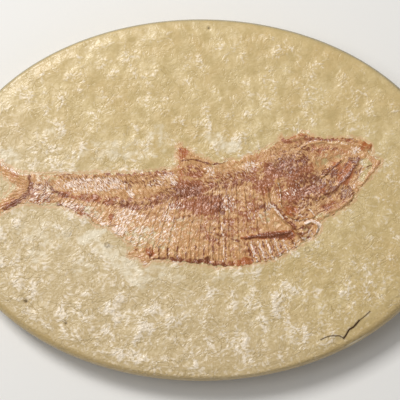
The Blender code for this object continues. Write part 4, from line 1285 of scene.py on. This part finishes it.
def make_fish(outline):
    """The fossil: a film of bone and skin with the skeleton in low relief, a thin plate in its bed."""
    margin = outline_with_margin(outline)
    fill = hex_grid(HALF_LENGTH, HALF_WIDTH, FISH_SPACING)
    fill = fill[near(fill, outline, MARGIN)]
    fill = fill[is_inside(fill, margin)]
    fill = fill[depth_inside(fill, margin) > FILL_GAP_SHARE * FISH_SPACING]
    corners, faces = sheet_mesh(margin, fill)
    depth = depth_inside(corners, outline)
    height, _ = stone_height(corners)
    height *= 1.0 - FISH_CALM * smoothstep(depth / CALM_DEPTH)
    rise, _ = film_rise(corners, film_edge(corners, depth))
    sheet = bmesh_sheet(corners, TOP_LEVEL + height + rise, faces)
    edge = [item for item in sheet.edges if item.is_boundary]
    edge = extrude_loop(sheet, edge, lambda place: Vector((place.x, place.y, FISH_BASE)))
    bmesh.ops.contextual_create(sheet, geom=edge)
    return finish_piece("fossil", sheet, fossil_material(), "fossil_fish")


def bars(feet, tips, spacing):
    """Short bars from one line to another, and the ones halfway between them."""
    lines = comb(feet, tips, 0.5 * spacing)
    return lines[::2], lines[1::2]


def colour_fish(fish, outline):
    """Values for the fossil's material, worked out at each of its points."""
    places = places_of(fish)
    points = places[:, :2]
    drawn = warped(points)
    edge = film_edge(points, depth_inside(points, outline))
    _, raised = stone_height(points)
    add_stone_values(fish, places, raised)
    _, bone = film_rise(points, edge)
    add_values(fish, "bone", bone)
    add_values(fish, "edge", fade(edge, *FILM_EDGE))
    dark_bars, pale_and_glint_bars = bars(*FRONT_BARS)
    dark_bars += bars(*REAR_BARS)[0]
    dark = painted(drawn, DARK_STROKES, DARK_PATCHES)
    add_values(fish, "dark", np.maximum(dark, thin_lines(drawn, dark_bars, *DARK_BAR)))
    # The pale layer: partly pale bone and matrix, partly painted glints and highlights
    pale = painted(drawn, PALE_AND_GLINT_STROKES, PALE_AND_GLINT_PATCHES)
    add_values(fish, "pale", np.maximum(pale, thin_lines(drawn, pale_and_glint_bars, *PALE_AND_GLINT_BAR)))
    add_values(fish, "rust", painted(drawn, RUST_STROKES, RUST_PATCHES))
    add_values(fish, "red", painted(drawn, RED_STROKES, RED_PATCHES))
    add_values(fish, "bare", painted(drawn, {}, BARE_PATCHES))
    across, along = along_bones(drawn).T / GRAIN_WIDTH
    add_values(fish, "streaks", np.stack([across, along, np.zeros(len(points))], axis=1))


def linear(colour):
    """A screen colour from 0 to 255 as the linear colour that Blender mixes."""
    share = np.array(colour) / 255.0
    return (*np.where(share <= 0.04045, share / 12.92, ((share + 0.055) / 1.055) ** 2.4), 1.0)


class Nodes:
    """Builds a material's nodes. A value is a number or another node's output."""

    def __init__(self, name, roughness, coat, coat_roughness):
        self.material = bpy.data.materials.new(name)
        self.material.use_nodes = True
        self.tree = self.material.node_tree
        self.shader = self.tree.nodes["Principled BSDF"]
        self.look("Roughness", roughness)
        self.look("Coat Weight", coat)
        self.look("Coat Roughness", coat_roughness)
        self.place = self.tree.nodes.new("ShaderNodeTexCoord").outputs["Object"]

    def set(self, socket, value):
        if isinstance(value, bpy.types.NodeSocket):
            self.tree.links.new(value, socket)
        else:
            socket.default_value = value

    def look(self, name, value):
        """Sets an input of the surface's shader."""
        self.set(self.shader.inputs[name], value)

    def attribute(self, name, output):
        node = self.tree.nodes.new("ShaderNodeAttribute")
        node.attribute_name = name
        return node.outputs[output]

    def value(self, name, part=1.0):
        """A number kept for each of the piece's points, or a part of it."""
        whole = self.attribute(name, "Fac")
        return whole if part == 1.0 else self.times(whole, part)

    def vector(self, name):
        return self.attribute(name, "Vector")

    def noise(self, pitch, detail=2.0, vector=None):
        """Noise from 0 to 1, with lumps of this pitch in millimetres or in the vector's own units."""
        node = self.tree.nodes.new("ShaderNodeTexNoise")
        self.set(node.inputs["Vector"], self.place if vector is None else vector)
        node.inputs["Scale"].default_value = 1.0 / (pitch * MM if vector is None else pitch)
        node.inputs["Detail"].default_value = detail
        return self.ramp(node.outputs["Fac"], *NOISE_RANGE)

    def math(self, operation, first, second, clamp=False):
        node = self.tree.nodes.new("ShaderNodeMath")
        node.operation = operation
        node.use_clamp = clamp
        self.set(node.inputs[0], first)
        self.set(node.inputs[1], second)
        return node.outputs["Value"]

    def times(self, first, second, clamp=False):
        return self.math("MULTIPLY", first, second, clamp)

    def plus(self, first, second):
        return self.math("ADD", first, second)

    def minus(self, first, second):
        return self.math("SUBTRACT", first, second)

    def ramp(self, value, low, high):
        """0 below low, 1 above high and smooth in between."""
        node = self.tree.nodes.new("ShaderNodeMapRange")
        node.interpolation_type = "SMOOTHSTEP"
        self.set(node.inputs["Value"], value)
        node.inputs["From Min"].default_value = low
        node.inputs["From Max"].default_value = high
        return node.outputs["Result"]

    def speckled(self, share, texture, softness):
        """A mask that covers about this share of the surface, where the texture is low."""
        reach = self.times(share, 1.0 + softness)
        return self.ramp(self.minus(reach, texture), 0.0, softness)

    def layer(self, name, texture):
        """The speckled mask of the layer with this name."""
        return self.speckled(self.value(name, COVER[name]), texture, SOFTNESS[name])

    def mix(self, share, first, second):
        """Mixes two colours, each a node's output or a screen colour."""
        node = self.tree.nodes.new("ShaderNodeMix")
        node.data_type = "RGBA"
        self.set(node.inputs["Factor"], share)
        sockets = [socket for socket in node.inputs if socket.type == "RGBA"]
        for socket, colour in zip(sockets, (first, second)):
            self.set(socket, colour if isinstance(colour, bpy.types.NodeSocket) else linear(colour))
        return next(socket for socket in node.outputs if socket.type == "RGBA")

    def layered(self, colour, layers):
        """Lays other colours over this one, each with its mask."""
        for mask, over in layers:
            colour = self.mix(mask, colour, over)
        return colour

    def bump(self, height, distance):
        """Adds relief of this many millimetres to what is there."""
        node = self.tree.nodes.new("ShaderNodeBump")
        node.inputs["Distance"].default_value = distance * MM
        self.set(node.inputs["Height"], height)
        if self.shader.inputs["Normal"].is_linked:
            self.set(node.inputs["Normal"], self.shader.inputs["Normal"].links[0].from_socket)
        for name in ("Normal", "Coat Normal"):
            self.look(name, node.outputs["Normal"])


def wrinkles(nodes, grain):
    """Thin winding grooves in the stone, here and there: 1 in a groove and 0 beside it."""
    pitch, reach = WRINKLES
    from_middle = nodes.math("ABSOLUTE", nodes.minus(nodes.noise(pitch, vector=grain), 0.5), 0.0)
    groove = nodes.minus(1.0, nodes.ramp(from_middle, 0.0, reach))
    here = nodes.times(nodes.noise(WRINKLE_SPREAD, detail=1.0, vector=grain), nodes.value("rough"))
    return nodes.times(groove, here)


def stone_colour(nodes, grain):
    """Tan limestone: ochre hollows, partly painted shade, pale grains where it is raised, partly painted
    glints, and a greyer tint towards one side, which is painted sheen.
    """
    raised = nodes.value("raised")
    rough = nodes.value("rough")
    clouds = nodes.mix(nodes.noise(CLOUD_PITCH, detail=3.0), STONE_TAN, STONE_OCHRE)
    fine = nodes.times(nodes.noise(FINE_PITCH, vector=grain), rough)
    # Pale specks, partly paler grains and partly painted glints, most where the stone is raised
    raised_glint_specks = nodes.times(raised, nodes.plus(GLINT_SPECKS_RAISED, nodes.times(rough, GLINT_SPECKS_BOTH)))
    specks = nodes.plus(raised_glint_specks, nodes.times(rough, GLINT_SPECKS_ROUGH))
    texture = nodes.noise(GLINT_SPECK_PITCH, detail=4.0, vector=grain)
    # Hollows: darker ochre where the stone isn't raised, partly painted shade
    hollows = nodes.minus(HOLLOW_SHADE_SHARE, raised)
    return nodes.layered(clouds, [
        (nodes.speckled(hollows, nodes.noise(HOLLOW_SHADE_PITCH), SOFTNESS["hollows"]), STONE_HOLLOW_SHADE),
        # Painted sheen towards the lower left
        (nodes.value("sheen_haze", COVER["sheen_haze"]), STONE_SHEEN_HAZE),
        (nodes.times(fine, COVER["fine grain"]), STONE_DEEP),
        # Wrinkles: the grooves painted darker ochre, partly painted shade in them
        (nodes.times(wrinkles(nodes, grain), COVER["wrinkles"]), STONE_DEEP),
        # Pale specks, partly painted glints
        (nodes.speckled(specks, texture, SOFTNESS["specks"]), STONE_PALE_AND_GLINT),
    ])


def stone_material():
    """Limestone with its smooth patches, partly painted sheen, its stain, band, rim with painted light,
    layers, chip and crack.
    """
    roughness, coat, _ = STONE_FINISH
    nodes = Nodes("tan limestone", *STONE_FINISH)
    grain = nodes.vector("stone_grain")
    # Painted light on the rim and band: darker on the lit side towards +Y, paler on the shaded side
    upper = nodes.value("upper")
    crack = nodes.value("crack")
    layers = nodes.noise(LAYER_THICKNESS, vector=nodes.vector("layers"))
    layers = nodes.times(layers, nodes.value("side"))
    stain = nodes.speckled(nodes.value("stain"), nodes.noise(STAIN_PITCH), SOFTNESS["stain"])
    nodes.look("Base Color", nodes.layered(stone_colour(nodes, grain), [
        # Smooth patches, partly painted sheen and highlights
        (nodes.layer("smooth", nodes.noise(SMOOTH_AND_SHEEN_PITCH, detail=3.0)), STONE_SMOOTH_AND_SHEEN),
        (nodes.times(stain, COVER["stain"]), STAIN),
        # The band and rim carry painted light: darker on the lit side, paler on the shaded side
        (nodes.value("band", COVER["band"]), nodes.mix(upper, STONE_BAND, STONE_BAND_LIT_SIDE_PAINTED_DARKER)),
        (nodes.value("rim", COVER["rim"]), nodes.mix(upper, STONE_RIM_SHADED_SIDE_PAINTED_LIGHT, STONE_RIM_LIT_SIDE_PAINTED_DARKER)),
        (nodes.times(layers, COVER["layers"]), STONE_DEEP),
        (nodes.value("chip"), STONE_CHIP),
        (crack, CRACK_BROWN),
    ]))
    intact = nodes.minus(1.0, crack)
    nodes.look("Coat Weight", nodes.times(intact, coat))
    nodes.look("Roughness", nodes.minus(1.0, nodes.times(intact, 1.0 - roughness)))
    bumpy = nodes.plus(nodes.value("raised"), nodes.value("rough", BUMP_ROUGH))
    nodes.bump(nodes.times(nodes.noise(BUMP_PITCH, detail=1.0, vector=grain), bumpy), GRAIN_BUMP)
    nodes.bump(nodes.minus(1.0, wrinkles(nodes, grain)), WRINKLE_BUMP)
    nodes.bump(layers, LAYER_BUMP)
    return nodes.material


def fossil_material():
    """Layers of colour, each broken up by noise: film, red, rust, bare stone, bones, and pink and pale
    sparks that are partly painted glints.
    """
    nodes = Nodes("red-brown fossil bone", *FOSSIL_FINISH)
    stone = stone_colour(nodes, nodes.vector("stone_grain"))
    coarse = nodes.noise(COARSE_PITCH)
    streaks = nodes.noise(STREAK_PITCH, detail=1.0, vector=nodes.vector("streaks"))
    strands = nodes.noise(STRAND_PITCH, vector=nodes.vector("streaks"))
    mottled = nodes.plus(coarse, strands)
    clouds = nodes.plus(CLOUD_LEAST, nodes.noise(RED_PITCH))
    red = nodes.times(nodes.value("red", COVER["red"]), clouds, clamp=True)
    # Pink strokes, partly painted glints, more where the film is red
    without_red, with_red = PINK_GLINT
    pink = nodes.plus(without_red, nodes.times(red, with_red))
    light = nodes.minus(1.0, streaks)
    film = nodes.mix(nodes.ramp(mottled, *BROWN_RANGE), FILM_BROWN, FILM_TAN)
    film = nodes.layered(film, [
        (nodes.speckled(LIGHT_SHARE, coarse, SOFTNESS["light"]), FILM_LIGHT),
        (nodes.speckled(red, nodes.ramp(mottled, *RED_RANGE), SOFTNESS["red"]), FILM_RED),
        (nodes.layer("rust", coarse), FILM_RUST),
        (nodes.layer("bare", coarse), stone),
        (nodes.layer("bone", streaks), BONE_BROWN),
        (nodes.layer("dark", strands), FILM_DARK),
        # Pink strokes, partly painted glints
        (nodes.speckled(pink, light, SOFTNESS["pink"]), FILM_PINK_GLINT),
        # Pale sparks: partly painted glints and highlights
        (nodes.layer("pale", light), FILM_PALE_AND_GLINT),
    ])
    nodes.look("Base Color", nodes.mix(nodes.layer("edge", coarse), stone, film))
    nodes.bump(coarse, FILM_BUMP)
    nodes.bump(streaks, STREAK_BUMP)
    return nodes.material


def aim(thing, back):
    """Turns a lamp or camera so that it looks along the opposite of this direction."""
    thing.rotation_mode = "QUATERNION"
    thing.rotation_quaternion = (-back).to_track_quat("-Z", "Y")


def direction(azimuth, elevation):
    """The unit vector towards a viewer at this angle round, where 0 is -Y and 90 is +X, and this high."""
    turn, rise = math.radians(azimuth), math.radians(elevation)
    return Vector((math.sin(turn) * math.cos(rise), -math.cos(turn) * math.cos(rise), math.sin(rise)))


def make_camera():
    """A camera above the slab, far enough away to show the width given above."""
    camera = bpy.data.objects.new("camera", bpy.data.cameras.new("camera"))
    camera.data.lens = LENS
    camera.data.sensor_width = SENSOR
    camera.data.clip_start = CLIP_START
    back = direction(0.0, CAMERA_ELEVATION)
    target = Vector((*VIEW_CENTRE, TOP_LEVEL)) * MM
    camera.location = target + back * (VIEW_WIDTH * MM * LENS / SENSOR)
    aim(camera, back)
    bpy.context.scene.collection.objects.link(camera)
    bpy.context.scene.camera = camera


def make_studio():
    """A plain pale floor, soft lamps and an even sky."""
    for name, (azimuth, elevation, distance, size, power) in LAMPS.items():
        light = bpy.data.lights.new(name, "AREA")
        light.size = size * MM
        light.energy = power
        lamp = bpy.data.objects.new(name, light)
        back = direction(azimuth, elevation)
        lamp.location = back * distance * MM
        aim(lamp, back)
        bpy.context.scene.collection.objects.link(lamp)
    sky = bpy.data.worlds.new("sky")
    sky.use_nodes = True
    background = sky.node_tree.nodes["Background"].inputs
    background["Color"].default_value = (1.0, 1.0, 1.0, 1.0)
    background["Strength"].default_value = SKY_STRENGTH
    bpy.context.scene.world = sky
    nodes = Nodes("pale floor", *FLOOR_FINISH)
    nodes.look("Base Color", linear(FLOOR_PALE))
    sheet = bmesh.new()
    bmesh.ops.create_grid(sheet, x_segments=1, y_segments=1, size=0.5 * FLOOR_SIZE * MM)
    mesh = bpy.data.meshes.new("floor")
    sheet.to_mesh(mesh)
    sheet.free()
    mesh.materials.append(nodes.material)
    floor = bpy.data.objects.new("floor", mesh)
    bpy.context.scene.collection.objects.link(floor)
    bpy.context.scene.view_settings.view_transform = "Standard"


make_camera()
make_studio()
fish_line = fish_outline()
colour_stone(make_stone(fish_line), fish_line)
colour_fish(make_fish(fish_line), fish_line)
